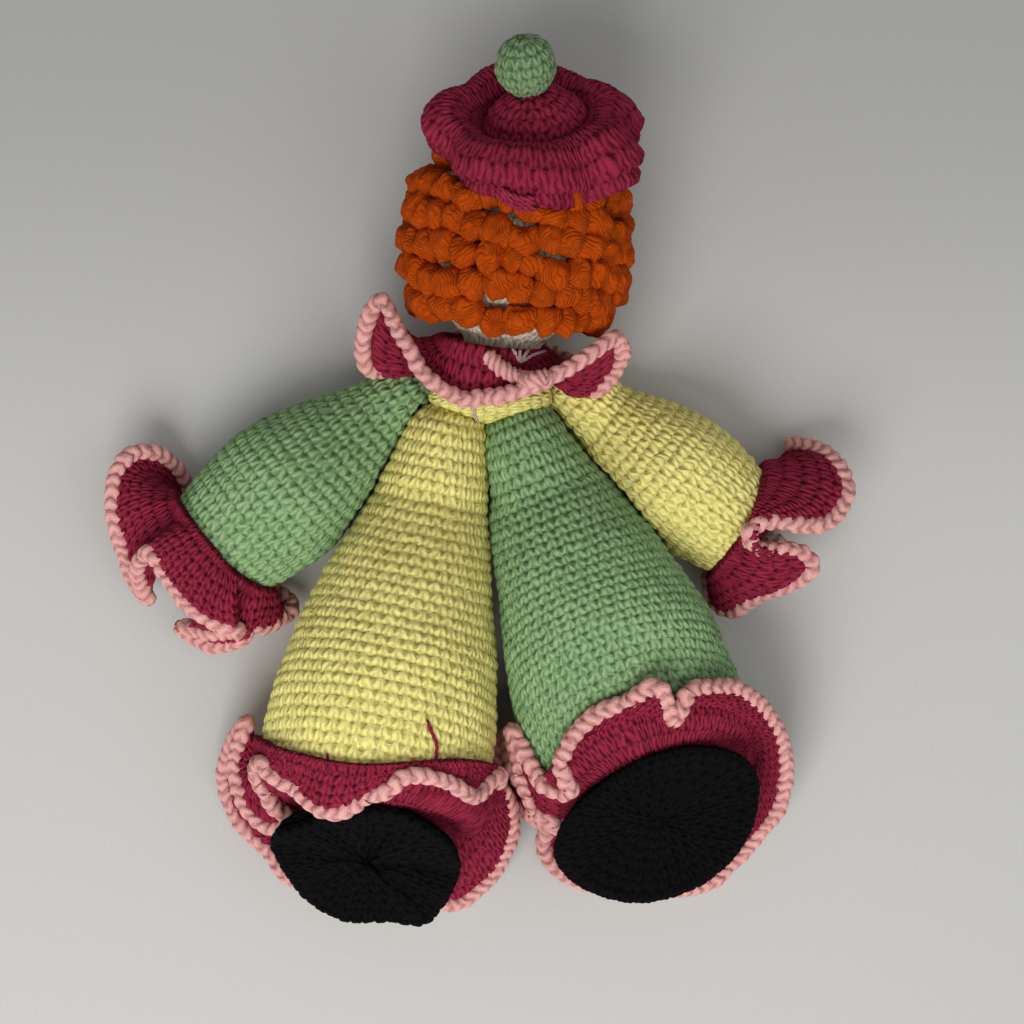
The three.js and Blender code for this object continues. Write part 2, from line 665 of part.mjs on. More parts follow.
// Folds measured from the hem's edge, for a ruffle whose seam lies within that edge.
function sewnInside(folds, inset) {
  return folds.map(([turn, reach, drop]) => [turn, reach + inset, drop + RUFFLE_DROP]);
}
for (const arm of arms) {
  const end = ARM_END_RADIUS * arm.girth;
  const limb = stuffedLimb({
    ...arm,
    stations: armStations.map((s) => (s * arm.length) / ARM_SPAN),
    profile: [[0, ARM_TIP_RADIUS], [6, 12], [14, 15.5], [25, 19.5], [45, 26], [60, 28], [78, 26.5],
      [ARM_LENGTH, ARM_END_RADIUS]]
      .map(([s, r]) => [(s * arm.length) / ARM_LENGTH, s < 10 ? r : r * arm.girth]),
    tipRadius: ARM_TIP_RADIUS,
    tipWidth: ARM_TIP_RADIUS,
    tipBlend: 20,
    tipFullness: 1,
    hingeHeight: ARM_TIP_RADIUS * ARM_SQUASH,
    hemRadius: end,
    squash: ARM_SQUASH,
    slump: 0,
    bow: 0,
    sides: 18,
  });
  const neighbour = legs.find((leg) => leg.side === arm.side);
  const swings = ARM_PRESS_SWINGS.map((swing) => {
    const body = legShape(neighbour, RUN_GAP).body;
    body.translate(0, -LEG_HINGE_Y, FLAT_DEPTH - LEG_HINGE_HEIGHT);
    body.rotateX(-THREE.MathUtils.degToRad(swing));
    return body.translate(0, LEG_HINGE_Y, LEG_HINGE_HEIGHT - FLAT_DEPTH);
  });
  const beside = roomBehind(legShape(neighbour, RUN_GAP).body, ARM_PRESS_DIRECTION[arm.side]);
  addPiece(`${arm.side}_arm`, restOnTable(cutBy(limb.body, ...swings, beside)), arm.colour);
  const cuffFolds = sewnInside(arm.folds, CUFF_SEAM_INSET);
  const cuff = flounce(limb.hem, end - CUFF_SEAM_INSET, CUFF_SEAM_HEIGHT, cuffFolds, { steps: 36, bulge: 2 });
  addPiece(`${arm.side}_cuff_ruffle`, cuff.sheet, COLOURS.crimson);
  addPiece(`${arm.side}_cuff_edging`, cuff.edging, COLOURS.pink);
  const handFrame = seamFrame(limb.hem.centre.clone().addScaledVector(limb.hem.normal,
    HEM_BULGE + SEAT_GAP + (BALL_END * HAND_REACH) / 2), limb.hem.normal);
  const hand = ball(handFrame, HAND_RADIUS, 10, HAND_REACH / 2 / HAND_RADIUS);
  addPiece(`${arm.side}_hand`, hand, COLOURS.offWhite);
}

for (const leg of legs) {
  const limb = legShape(leg);
  addPiece(`${leg.side}_leg`, restOnTable(limb.body), leg.colour);
  const ruffleFolds = sewnInside(leg.folds, ANKLE_SEAM_INSET);
  const ruffle = flounce(limb.hem, LEG_HEM_RADIUS - ANKLE_SEAM_INSET, ANKLE_SEAM_HEIGHT, ruffleFolds,
    { steps: 48, bulge: 3 });
  addPiece(`${leg.side}_ankle_ruffle`, ruffle.sheet, COLOURS.crimson);
  addPiece(`${leg.side}_ankle_edging`, ruffle.edging, COLOURS.pink);

  // Shoe: a cup that widens from the ankle to the rim of the sole, and a dished sole
  const soleNormal = leg.direction.clone().multiplyScalar(Math.cos(leg.soleLean))
    .addScaledVector(UP, Math.sin(leg.soleLean));
  const soleLength = SOLE_HALF_LENGTH * leg.soleSize;
  const soleWidth = SOLE_HALF_WIDTH * leg.soleSize;
  const soleCentre = limb.hem.centre.clone()
    .addScaledVector(limb.hem.normal, leg.soleReach)
    .addScaledVector(limb.hem.side, leg.soleShift);
  const ankleCentre = limb.hem.centre.clone().addScaledVector(limb.hem.normal, ANKLE_HEIGHT + SEAT_GAP);
  const upperRings = [];
  for (const [share, swell] of [[0, 0], [0.3, 0.34], [0.6, 0.68], [0.85, 0.92], [1, 0.97]]) {
    const centre = ankleCentre.clone().lerp(soleCentre, share);
    const normal = limb.hem.normal.clone().lerp(soleNormal, share);
    const frame = seamFrame(centre, normal);
    const length = THREE.MathUtils.lerp(ANKLE_RADIUS, soleLength, swell);
    const width = THREE.MathUtils.lerp(ANKLE_RADIUS, soleWidth, swell);
    upperRings.push(ring(frame, length, width, 18));
  }
  addPiece(`${leg.side}_shoe_upper`, skin(upperRings), COLOURS.black);
  const soleFrame = seamFrame(soleCentre.clone().addScaledVector(soleNormal, SEAT_GAP), soleNormal);
  const soleRings = [];
  for (const [share, height] of [[0.55, 0], [0.97, 0], [1, 0.5], [0.97, 1], [0.85, 0.9], [0.45, 0.45]]) {
    soleRings.push(ring(soleFrame, soleLength * share, soleWidth * share, 18, SOLE_THICKNESS * height));
  }
  addPiece(`${leg.side}_shoe_sole`, skin(soleRings), COLOURS.black);
}

// Ruffle strip sewn down the front of the right leg, under the flank that faces the other leg
const stripLeg = legs[1];
const stripLimb = legShape(stripLeg);
const stripSteps = 14;
const stripRings = [];
const stripCord = [];
for (let k = 0; k <= stripSteps; k += 1) {
  const station = STRIP_START + (STRIP_LENGTH * k) / stripSteps;
  const frame = stripLimb.frameAt(station);
  const wave = Math.sin((k * Math.PI) / 2);
  const reach = -stripLimb.radiusAt(station) + STRIP_INSET + wave;
  const outer = frame.centre.clone().addScaledVector(frame.side, reach).setZ(0);
  const inner = outer.clone().addScaledVector(frame.side, STRIP_WIDTH);
  const low = EDGING_RADIUS - STRIP_THICKNESS / 2 + STRIP_LIFT;
  stripRings.push([
    outer.clone().setZ(low),
    inner.clone().setZ(low),
    inner.clone().setZ(low + STRIP_THICKNESS),
    outer.clone().setZ(low + STRIP_THICKNESS),
  ]);
  const cordCentre = outer.clone().addScaledVector(frame.side, -EDGING_RADIUS - SEAT_GAP);
  cordCentre.setZ(EDGING_RADIUS + STRIP_LIFT);
  const cord = [];
  for (let j = 0; j < 4; j += 1) {
    const angle = (Math.PI / 4) * (2 * j + 1);
    cord.push(cordCentre.clone()
      .addScaledVector(frame.side, EDGING_RADIUS * Math.cos(angle))
      .addScaledVector(UP, EDGING_RADIUS * Math.sin(angle)));
  }
  stripCord.push(cord);
}
const legWithGap = legShape(stripLeg, SEAT_GAP).body;
addPiece('front_ruffle', cutBy(skin(stripRings), legWithGap), COLOURS.crimson);
addPiece('front_ruffle_edging', cutBy(skin(stripCord), legWithGap), COLOURS.pink);

export default doll;
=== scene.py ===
# %% [markdown]
# # A crochet clown doll, lying on its front
#
# The doll is hand crocheted from acrylic yarn. Each piece is worked by itself, stuffed with polyester
# fibre and sewn to its neighbour. This lesson rebuilds the look of every piece round a fixed frame:
# the solids that say where each piece is and how it turns at its sewn tip.
#
# A modeller's usual start, a primitive that is shaped with operators, gives smooth skins. Here every
# piece is a skin of stitches over stuffing, so each is a grid of points made in mesh code.

# %% Frame
import math

import bpy
import numpy as np
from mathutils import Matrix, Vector
from mathutils.bvhtree import BVHTree


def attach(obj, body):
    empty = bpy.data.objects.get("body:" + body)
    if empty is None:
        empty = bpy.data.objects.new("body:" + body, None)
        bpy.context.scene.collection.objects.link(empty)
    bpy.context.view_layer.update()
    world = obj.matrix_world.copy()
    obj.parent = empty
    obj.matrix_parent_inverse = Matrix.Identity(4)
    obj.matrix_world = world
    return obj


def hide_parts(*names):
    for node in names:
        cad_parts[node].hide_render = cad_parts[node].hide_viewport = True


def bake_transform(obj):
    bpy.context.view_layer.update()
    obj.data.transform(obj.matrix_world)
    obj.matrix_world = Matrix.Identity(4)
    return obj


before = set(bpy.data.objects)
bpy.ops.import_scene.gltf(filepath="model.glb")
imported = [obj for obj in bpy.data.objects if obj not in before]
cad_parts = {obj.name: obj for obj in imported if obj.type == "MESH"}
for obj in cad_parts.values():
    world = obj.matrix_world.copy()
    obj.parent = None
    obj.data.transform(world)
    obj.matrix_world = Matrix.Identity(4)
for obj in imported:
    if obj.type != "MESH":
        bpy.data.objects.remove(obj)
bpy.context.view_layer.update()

# %% [markdown]
# ## Camera and room
#
# The doll was photographed from straight above, head up. The picture is 1024 pixels wide and shows
# 389 mm at the height of the doll's outline, from about 0.66 m away, which gives the focal length.
# The table is a plain pale surface, with painted shade that darkens its far side. A broad lamp from the
# lower left and a weaker one from the other side give the soft shadows of a room, at a level where a
# colour looks as it is written. Nearly all materials need the same few steps, so one helper turns a hex
# colour into a shader's colour, one adds a node with its settings and links, and one starts a material.

# %% Camera
PICTURE_MM = 389.0
EYE_DISTANCE_MM = 660.0
OUTLINE_HEIGHT_MM = 35.0
MIDDLE_MM = (8.4, -44.5)
SENSOR_MM = 36.0

bpy.ops.object.camera_add(
    location=(MIDDLE_MM[0] / 1000, MIDDLE_MM[1] / 1000, (EYE_DISTANCE_MM + OUTLINE_HEIGHT_MM) / 1000),
    rotation=(0, 0, 0))
camera = bpy.context.object
camera.data.sensor_width = SENSOR_MM
camera.data.lens = SENSOR_MM * EYE_DISTANCE_MM / PICTURE_MM
bpy.context.scene.camera = camera
print("focal length, mm:", round(camera.data.lens, 1))


# %% Colours and nodes
def linear(hex_colour):
    """Turns an sRGB hex colour into the linear colour that a shader takes."""
    channels = [int(hex_colour[i:i + 2], 16) / 255 for i in (1, 3, 5)]
    return [c / 12.92 if c <= 0.04045 else ((c + 0.055) / 1.055) ** 2.4 for c in channels] + [1.0]


def add(tree, kind, settings=None, **links):
    """Adds a node. A setting goes to its property or its socket, and a link to the socket it names."""
    node = tree.nodes.new(kind)
    for key, value in (settings or {}).items():
        if isinstance(key, int) or key in node.inputs:
            node.inputs[key].default_value = value
        else:
            setattr(node, key, value)
    for key, source in links.items():
        socket = node.inputs[int(key[1:])] if key[0] == "_" else node.inputs[key.replace("_", " ")]
        tree.links.new(source, socket)
    return node


def new_material(name):
    """A material with its shader, ready for more nodes."""
    material = bpy.data.materials.new(name)
    material.use_nodes = True
    tree = material.node_tree
    return material, tree, tree.nodes["Principled BSDF"]


# %% Room
TABLE_SIZE = 6.0
FAR_SIDE_FROM, FAR_SIDE_TO = -0.08, 0.16
FAR_SIDE_PAINTED_SHADE = 0.27
WORLD_STRENGTH = 0.34

bpy.ops.object.select_all(action="DESELECT")
bpy.ops.mesh.primitive_plane_add(size=TABLE_SIZE, location=(0, 0, 0))
table = bpy.context.object
table.name = "table"
cloth_material, tree, shader = new_material("white cotton table cover, plain weave")
shader.inputs["Roughness"].default_value = 0.9
# The weave has a thread every 0.6 mm; it is drawn at 1.5 mm so that it shows a little in the picture.
place = add(tree, "ShaderNodeTexCoord")
weave = add(tree, "ShaderNodeTexNoise", {"Scale": 650.0, "Detail": 2.0}, Vector=place.outputs["Object"])
tone = add(tree, "ShaderNodeMix", {"data_type": "RGBA", 6: linear("#c4c3be"), 7: linear("#cccac5")},
           Factor=weave.outputs["Fac"])
# The far side of the table is painted a little darker: painted shade, where the room's light falls off.
parts = add(tree, "ShaderNodeSeparateXYZ", Vector=place.outputs["Object"])
far_side_painted_shade = add(tree, "ShaderNodeMapRange",
               {"interpolation_type": "SMOOTHSTEP", "From Min": FAR_SIDE_FROM, "From Max": FAR_SIDE_TO,
                "To Min": 0.0, "To Max": FAR_SIDE_PAINTED_SHADE}, Value=parts.outputs["Y"])
shaded = add(tree, "ShaderNodeMix", {"data_type": "RGBA", 7: linear("#3c3c3a")},
             Factor=far_side_painted_shade.outputs["Result"], _6=tone.outputs[2])
tree.links.new(shaded.outputs[2], shader.inputs["Base Color"])
table.data.materials.append(cloth_material)


def lamp(name, place, power, size):
    """Adds a square area lamp that faces the doll."""
    bpy.ops.object.light_add(type="AREA", location=place)
    light = bpy.context.object
    light.name = name
    light.data.energy = power
    light.data.size = size
    aim = Vector((0, -0.03, 0.03)) - Vector(place)
    light.rotation_euler = aim.to_track_quat("-Z", "Y").to_euler()
    print(f"{name}: {power} W, {size} m wide")


lamp("key_lamp", (-0.3, -0.85, 1.0), 12.5, 0.8)
lamp("fill_lamp", (0.7, -0.3, 1.3), 4.0, 1.1)
world = bpy.data.worlds.new("room")
bpy.context.scene.world = world
world.use_nodes = True
world.node_tree.nodes["Background"].inputs["Color"].default_value = linear("#f4f6fa")
world.node_tree.nodes["Background"].inputs["Strength"].default_value = WORLD_STRENGTH
bpy.context.scene.view_settings.view_transform = "Standard"

# %% [markdown]
# ## Yarn
#
# Everything is acrylic yarn, medium weight, about 2.4 mm thick: several plies of matt, slightly hairy
# fibre. In single crochet each stitch shows as a V of two strands, 4.75 mm wide and high. The V is
# drawn twice: as real bumps in the mesh, and more finely here, from a UV map that counts stitches and
# rows. The gaps between strands are painted darker in the colour, as painted shade where the yarn
# shades itself.

# %% Yarn materials
STITCH = 4.75
V_NARROW = 0.11
V_SPREAD = 0.25
STRAND_HALF = 0.25
HOLE_SIZE = 0.045
HOLE_DEPTH = 0.75
WANDER = 0.8
WANDER_SCALE, FUZZ_SCALE, PATCH_SCALE = 190.0, 1400.0, 45.0
FIBRE_SHARE = 0.9
FUZZ_SHARE = 0.5
DARKEST, LIGHTEST = 0.15, 1.05
FIBRE_RELIEF, FUZZ_RELIEF = 0.55, 0.35


def yarn(name, light, strand_gap_shade, worked=True, strand_bump=0.0006, patchy=0.16, fuzz_level=0.12, contrast=0.55):
    """Spun acrylic is matt, with a faint sheen of loose fibre. worked reads the UV map as stitches."""
    material, tree, shader = new_material(name)
    uv = add(tree, "ShaderNodeUVMap", {"uv_map": "stitches"})
    place = add(tree, "ShaderNodeTexCoord")
    # No two stitches are pulled alike, so the pattern wanders by up to a sixth of a stitch, over 5 mm.
    wander = add(tree, "ShaderNodeTexNoise", {"Scale": WANDER_SCALE, "Detail": 2.0},
                 Vector=place.outputs["Object"])
    offset = add(tree, "ShaderNodeVectorMath", {"operation": "SUBTRACT", 1: (0.5, 0.5, 0.5)},
                 _0=wander.outputs["Color"])
    moved = add(tree, "ShaderNodeVectorMath", {"operation": "MULTIPLY_ADD", 1: (WANDER, WANDER, 0.0)},
                _0=offset.outputs["Vector"], _2=uv.outputs["UV"])
    parts = add(tree, "ShaderNodeSeparateXYZ", Vector=moved.outputs["Vector"])

    def maths(operation, first, second=None):
        values = [first, second]
        numbers = {i: v for i, v in enumerate(values) if isinstance(v, (int, float))}
        node = add(tree, "ShaderNodeMath", {"operation": operation, **numbers})
        for i, value in enumerate(values):
            if value is not None and not isinstance(value, (int, float)):
                tree.links.new(value, node.inputs[i])
        return node.outputs[0]

    across = maths("FRACT", parts.outputs["X"])
    if worked:
        along = maths("FRACT", parts.outputs["Y"])
        spread = maths("ADD", maths("MULTIPLY", along, V_SPREAD), V_NARROW)
        off = maths("ABSOLUTE", maths("SUBTRACT", maths("ABSOLUTE", maths("SUBTRACT", across, 0.5)), spread))
        share = maths("DIVIDE", off, STRAND_HALF)
        round_part = maths("SUBTRACT", 1.0, maths("MULTIPLY", share, share))
        tuck = maths("SINE", maths("MULTIPLY", maths("ADD", maths("MULTIPLY", along, 0.85), 0.1), math.pi))
        tuck = maths("ADD", maths("MULTIPLY", tuck, 0.6), 0.4)
        height = maths("MULTIPLY", maths("MAXIMUM", round_part, 0.0), tuck)
        # Where four stitches meet there is a small hole: it sinks the bump and is painted dark, as painted
        # shade.
        corner = [maths("SUBTRACT", 0.5, maths("ABSOLUTE", maths("SUBTRACT", v, 0.5)))
                  for v in (across, along)]
        near = maths("ADD", *[maths("MULTIPLY", v, v) for v in corner])
        hole = maths("MAXIMUM", maths("SUBTRACT", 1.0, maths("DIVIDE", near, HOLE_SIZE)), 0.0)
        height = maths("SUBTRACT", height, maths("MULTIPLY", hole, HOLE_DEPTH))
        streak_scale = (9.0, 2.2, 1.0)
    else:
        height = maths("SINE", maths("MULTIPLY", across, math.pi))
        streak_scale = (6.0, 1.6, 1.0)
    # Fibres lie along the strand, about 0.3 mm apart.
    stretched = add(tree, "ShaderNodeMapping", {"Scale": streak_scale}, Vector=moved.outputs["Vector"])
    fibres = add(tree, "ShaderNodeTexNoise", {"Scale": 2.0, "Detail": 3.0},
                 Vector=stretched.outputs["Vector"])
    # Loose fibre curls over 0.7 mm, and the yarn's dye and stuffing vary over 22 mm.
    fuzz = add(tree, "ShaderNodeTexNoise", {"Scale": FUZZ_SCALE, "Detail": 2.0},
               Vector=place.outputs["Object"])
    patches = add(tree, "ShaderNodeTexNoise", {"Scale": PATCH_SCALE, "Detail": 2.0},
                  Vector=place.outputs["Object"])
    lit = maths("ADD", maths("MULTIPLY", height, contrast),
                maths("MULTIPLY", fibres.outputs["Fac"], FIBRE_SHARE))
    lit = maths("ADD", lit, maths("MULTIPLY", maths("SUBTRACT", fuzz.outputs["Fac"], 0.5), FUZZ_SHARE))
    lit = maths("ADD", lit, maths("MULTIPLY", maths("SUBTRACT", patches.outputs["Fac"], 0.5), patchy * 2))
    level = add(tree, "ShaderNodeMapRange", {"From Min": DARKEST, "From Max": LIGHTEST}, Value=lit)
    # Painted shade: where the strands sink into gaps and holes, the colour goes towards the darker second
    # colour.
    tone = add(tree, "ShaderNodeMix", {"data_type": "RGBA", 6: linear(strand_gap_shade), 7: linear(light)},
               Factor=level.outputs["Result"])
    tree.links.new(tone.outputs[2], shader.inputs["Base Color"])
    relief = maths("ADD", maths("ADD", height, maths("MULTIPLY", fibres.outputs["Fac"], FIBRE_RELIEF)),
                   maths("MULTIPLY", fuzz.outputs["Fac"], FUZZ_RELIEF))
    bump = add(tree, "ShaderNodeBump", {"Distance": strand_bump, "Strength": 1.0}, Height=relief)
    tree.links.new(bump.outputs["Normal"], shader.inputs["Normal"])
    shader.inputs["Roughness"].default_value = 0.88
    shader.inputs["Specular IOR Level"].default_value = 0.1
    shader.inputs["Sheen Weight"].default_value = fuzz_level
    shader.inputs["Sheen Roughness"].default_value = 0.5
    shader.inputs["Sheen Tint"].default_value = linear(light)
    return material


# Each yarn's second colour is painted shade, for the gaps between its strands.
YARNS = {
    "yellow": yarn("yellow acrylic yarn, single crochet", "#fcf195", "#c9bb66"),
    "green": yarn("green acrylic yarn, single crochet", "#9bbd86", "#5c7c50"),
    "crimson": yarn("crimson acrylic yarn, single crochet", "#a02c45", "#4e0a19"),
    "white": yarn("off-white acrylic yarn, single crochet", "#ded0c0", "#a89884"),
    "black": yarn("black acrylic yarn, single crochet", "#070708", "#010102", patchy=0.05,
                  fuzz_level=0.0),
    "mint": yarn("mint acrylic yarn, single crochet", "#88a377", "#53704a"),
    "pink_cord": yarn("pink acrylic yarn, crochet edging", "#ecaea8", "#a8645f", worked=False,
                      patchy=0.25),
    "orange_cord": yarn("orange acrylic yarn, chain loops", "#d45a04", "#8f2c02", worked=False,
                        contrast=0.12, strand_bump=0.0004, fuzz_level=0.04),
    "crimson_cord": yarn("crimson acrylic yarn, loose strand", "#a8344e", "#641424", worked=False),
    "pale_cord": yarn("pale yarn, loose strand", "#e8c9c4", "#b89a94", worked=False),
    "black_cord": yarn("black embroidery yarn", "#101013", "#030304", worked=False, fuzz_level=0.0),
}
print(len(YARNS), "yarns")


# %% [markdown]
# ## How a crocheted skin is made
#
# A stuffed piece is a stack of rounds. The base form is a grid of points: rings along the piece, points
# round each ring. Each round of crochet gets as many stitches as fit its girth, just as a maker adds
# stitches to widen a cone. The grid is fine enough for about six points a stitch, and every point is
# lifted by the height of the strand that passes there. So the bumps are real geometry.

# %% Handmade irregularity
def frac(values):
    """The part of a number after its point."""
    return values - np.floor(values)


def scatter(first, second=0.0, third=0.0):
    """Repeatable spread of numbers between 0 and 1, one for each stitch."""
    mixed = np.asarray(first) * 12.9898 + np.asarray(second) * 78.233 + third * 37.719
    return frac(np.sin(mixed) * 43758.5453)


def lattice_noise(points, size, seed=0.0):
    """Smooth repeatable noise between -1 and 1, over points in mm, that varies over the given size."""
    cell = np.asarray(points, float) / size
    base = np.floor(cell)
    t = cell - base
    t = t * t * (3 - 2 * t)
    total = np.zeros(cell.shape[:-1])
    for corner in ((i, j, k) for i in (0, 1) for j in (0, 1) for k in (0, 1)):
        weight = np.prod([t[..., a] if corner[a] else 1 - t[..., a] for a in range(3)], axis=0)
        at = [base[..., a] + corner[a] for a in range(3)]
        total += weight * scatter(at[0] + seed * 7.0, at[1] - seed * 3.0, at[2])
    return 2 * total - 1


# %% Height of a stitch
BUMP_HALF = 0.27
HOLE_WIDTH, HOLE_SINK = 0.14, 0.45


def strand_height(across, along, ridge=0.0):
    """Height from 0 to 1 of the V of a single crochet stitch, with each stitch a little different."""
    a, b = frac(across), frac(along)
    off = np.abs(np.abs(a - 0.5) - (V_NARROW + V_SPREAD * b))
    strand = np.sqrt(np.clip(1 - (off / BUMP_HALF) ** 2, 0, 1))
    tuck = 0.35 + 0.65 * np.sin(np.pi * (0.1 + 0.85 * b)) ** 0.7
    hole = np.exp(-(np.minimum(a, 1 - a) ** 2 + np.minimum(b, 1 - b) ** 2) / HOLE_WIDTH ** 2)
    vary = 0.8 + 0.4 * scatter(np.floor(across), np.floor(along))
    row = np.sin(np.pi * b) ** 0.8
    return (1 - ridge) * strand * tuck * vary + ridge * row * (0.75 + 0.25 * strand) - HOLE_SINK * hole


# %% Lines and rings of points
def unit(vectors):
    """The directions of vectors, with a length of one."""
    length = np.linalg.norm(vectors, axis=-1, keepdims=True)
    return vectors / np.maximum(length, 1e-9)


def curve_between(p0, p1, p2, p3, t):
    """Catmull-Rom curve from the second of four points to the third."""
    return 0.5 * (2 * p1 + (p2 - p0) * t + (2 * p0 - 5 * p1 + 4 * p2 - p3) * t * t
                  + (3 * p1 - p0 - 3 * p2 + p3) * t ** 3)


def smooth_rows(points, parts=6):
    """Smooth curve through the rings of a grid, along its first direction."""
    padded = np.concatenate([2 * points[:1] - points[1:2], points, 2 * points[-1:] - points[-2:-1]])
    out = [curve_between(*padded[i:i + 4], t)
           for i in range(len(points) - 1) for t in np.arange(parts) / parts]
    return np.array(out + [points[-1]])


def lengths_along(line):
    """Length from the start of a line to each of its points."""
    return np.concatenate([[0], np.cumsum(np.linalg.norm(np.diff(line, axis=0), axis=1))])


def points_at(line, along, where):
    """The points of a line at the wanted lengths."""
    return np.stack([np.interp(where, along, line[:, k]) for k in range(3)], axis=1)


def even_rows(points, step):
    """The grid again with its rings a step apart, and how far along each ring lies."""
    gaps = np.linalg.norm(np.diff(points, axis=0), axis=2).mean(axis=1)
    along = np.concatenate([[0], np.cumsum(gaps)])
    wanted = np.linspace(0, along[-1], max(3, int(round(along[-1] / step)) + 1))
    at = np.clip(np.searchsorted(along, wanted, side="right") - 1, 0, len(along) - 2)
    share = ((wanted - along[at]) / np.maximum(along[at + 1] - along[at], 1e-9))[:, None, None]
    return points[at] * (1 - share) + points[at + 1] * share, wanted


def grid_normals(points):
    """Directions square to a grid whose second direction is closed."""
    around = np.roll(points, -1, axis=1) - np.roll(points, 1, axis=1)
    return unit(np.cross(around, np.gradient(points, axis=0)))


# %% [markdown]
# ## From grid to mesh
#
# The grid's neighbours become quads, and its open ends are closed by a fan of triangles, so each piece is
# a closed skin. Its volume comes out negative when the faces point in, and they are then turned over. The
# UV map counts stitches one way and rounds the other, so the yarn material follows the real stitches.

# %% From grid to mesh
def volume_of(points, corners):
    """Signed volume within a mesh of triangles, positive where the faces point out."""
    a, b, c = (points[corners[:, i]] for i in range(3))
    return float((a * np.cross(b, c)).sum() / 6)


def quads_of(rows, cols, closed_rows=False):
    """Corner numbers of a grid's quads. The grid's second direction is closed."""
    index = np.arange(rows * cols).reshape(rows, cols)
    right = np.roll(index, -1, axis=1)
    quads = np.stack([index, right, np.roll(right, -1, axis=0), np.roll(index, -1, axis=0)], axis=-1)
    return (quads if closed_rows else quads[:-1]).reshape(-1, 4)


def corners_uv(*corners):
    """UV coordinates of a grid's quads, from the pair of coordinates of each of their four corners."""
    return np.stack([np.stack(np.broadcast_arrays(u, v), axis=-1) for u, v in corners], axis=2)


def grid_object(name, points, uv, closed_rows, material):
    """Makes a closed mesh object from a grid in mm. An open grid is closed by a fan at each end."""
    rows, cols = points.shape[:2]
    flat = points.reshape(-1, 3)
    quads = quads_of(rows, cols, closed_rows)
    quad_uv = uv.reshape(-1, 4, 2)
    fans, fan_uv = np.zeros((0, 3), int), np.zeros((0, 3, 2))
    if not closed_rows:
        hubs = np.array([points[0].mean(axis=0), points[-1].mean(axis=0)])
        top = np.arange(cols)
        end = top + (rows - 1) * cols
        first = np.stack([top, np.full(cols, rows * cols), np.roll(top, -1)], axis=-1)
        last = np.stack([end, np.roll(end, -1), np.full(cols, rows * cols + 1)], axis=-1)
        fans = np.concatenate([first, last])
        flat = np.concatenate([flat, hubs])
        fan_uv = np.full((len(fans), 3, 2), 0.3)
    halves = np.concatenate([quads[:, [0, 1, 2]], quads[:, [0, 2, 3]], fans])
    if volume_of(flat, halves) < 0:
        quads, quad_uv = quads[:, ::-1], quad_uv[:, ::-1]
        fans, fan_uv = fans[:, ::-1], fan_uv[:, ::-1]
    mesh = bpy.data.meshes.new(name)
    mesh.vertices.add(len(flat))
    mesh.vertices.foreach_set("co", (flat / 1000).astype(np.float32).ravel())
    corners = np.concatenate([quads.ravel(), fans.ravel()])
    mesh.loops.add(len(corners))
    mesh.loops.foreach_set("vertex_index", corners.astype(np.int32))
    mesh.polygons.add(len(quads) + len(fans))
    starts = np.concatenate([np.arange(len(quads)) * 4, 4 * len(quads) + np.arange(len(fans)) * 3])
    mesh.polygons.foreach_set("loop_start", starts.astype(np.int32))
    mesh.update(calc_edges=True)
    layer = mesh.uv_layers.new(name="stitches")
    both = np.concatenate([quad_uv.reshape(-1, 2), fan_uv.reshape(-1, 2)])
    layer.data.foreach_set("uv", both.astype(np.float32).ravel())
    mesh.shade_smooth()
    piece = bpy.data.objects.new(name, mesh)
    bpy.context.scene.collection.objects.link(piece)
    mesh.materials.append(YARNS[material])
    return piece


# %% Resting and riding
def on_table(points, floor=0.15, softness=0.7):
    """Presses a soft thing flat where it would reach below the table."""
    above = (points[..., 2] - floor) / softness
    eased = np.log1p(np.exp(np.minimum(above, 20)))
    points[..., 2] = floor + softness * np.where(above > 20, above, eased)
    return points


def finish_piece(piece, body, nodes):
    """Attaches a piece to the body it rides on and hides the solids that it stands for."""
    if body is not None:
        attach(piece, body)
    if nodes:
        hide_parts(*nodes)
    print(f"{piece.name}: {len(piece.data.polygons)} faces")
    return piece


# %% [markdown]
# ## A stuffed piece
#
# The rings are smoothed and spaced by the height of a stitch. Each round's stitch count follows from its
# girth, and it starts a little further round than the one before, as work in a spiral does. Then every
# point is raised by its strand, by how evenly the stitch was pulled and by the lumps of the stuffing.

# %% A stuffed piece
POINTS_PER_STITCH = 6
FEWEST = 5
# A stitch is pulled by up to this share of itself. Lumps are given by height and size in mm.
PULL, PULL_SIZE = 0.14, 7.0
FINE_LUMP, FINE_SIZE = 0.35, 3.0
BROAD_LUMP, BROAD_SIZE = 0.5, 16.0
MEAN_HEIGHT = 0.62


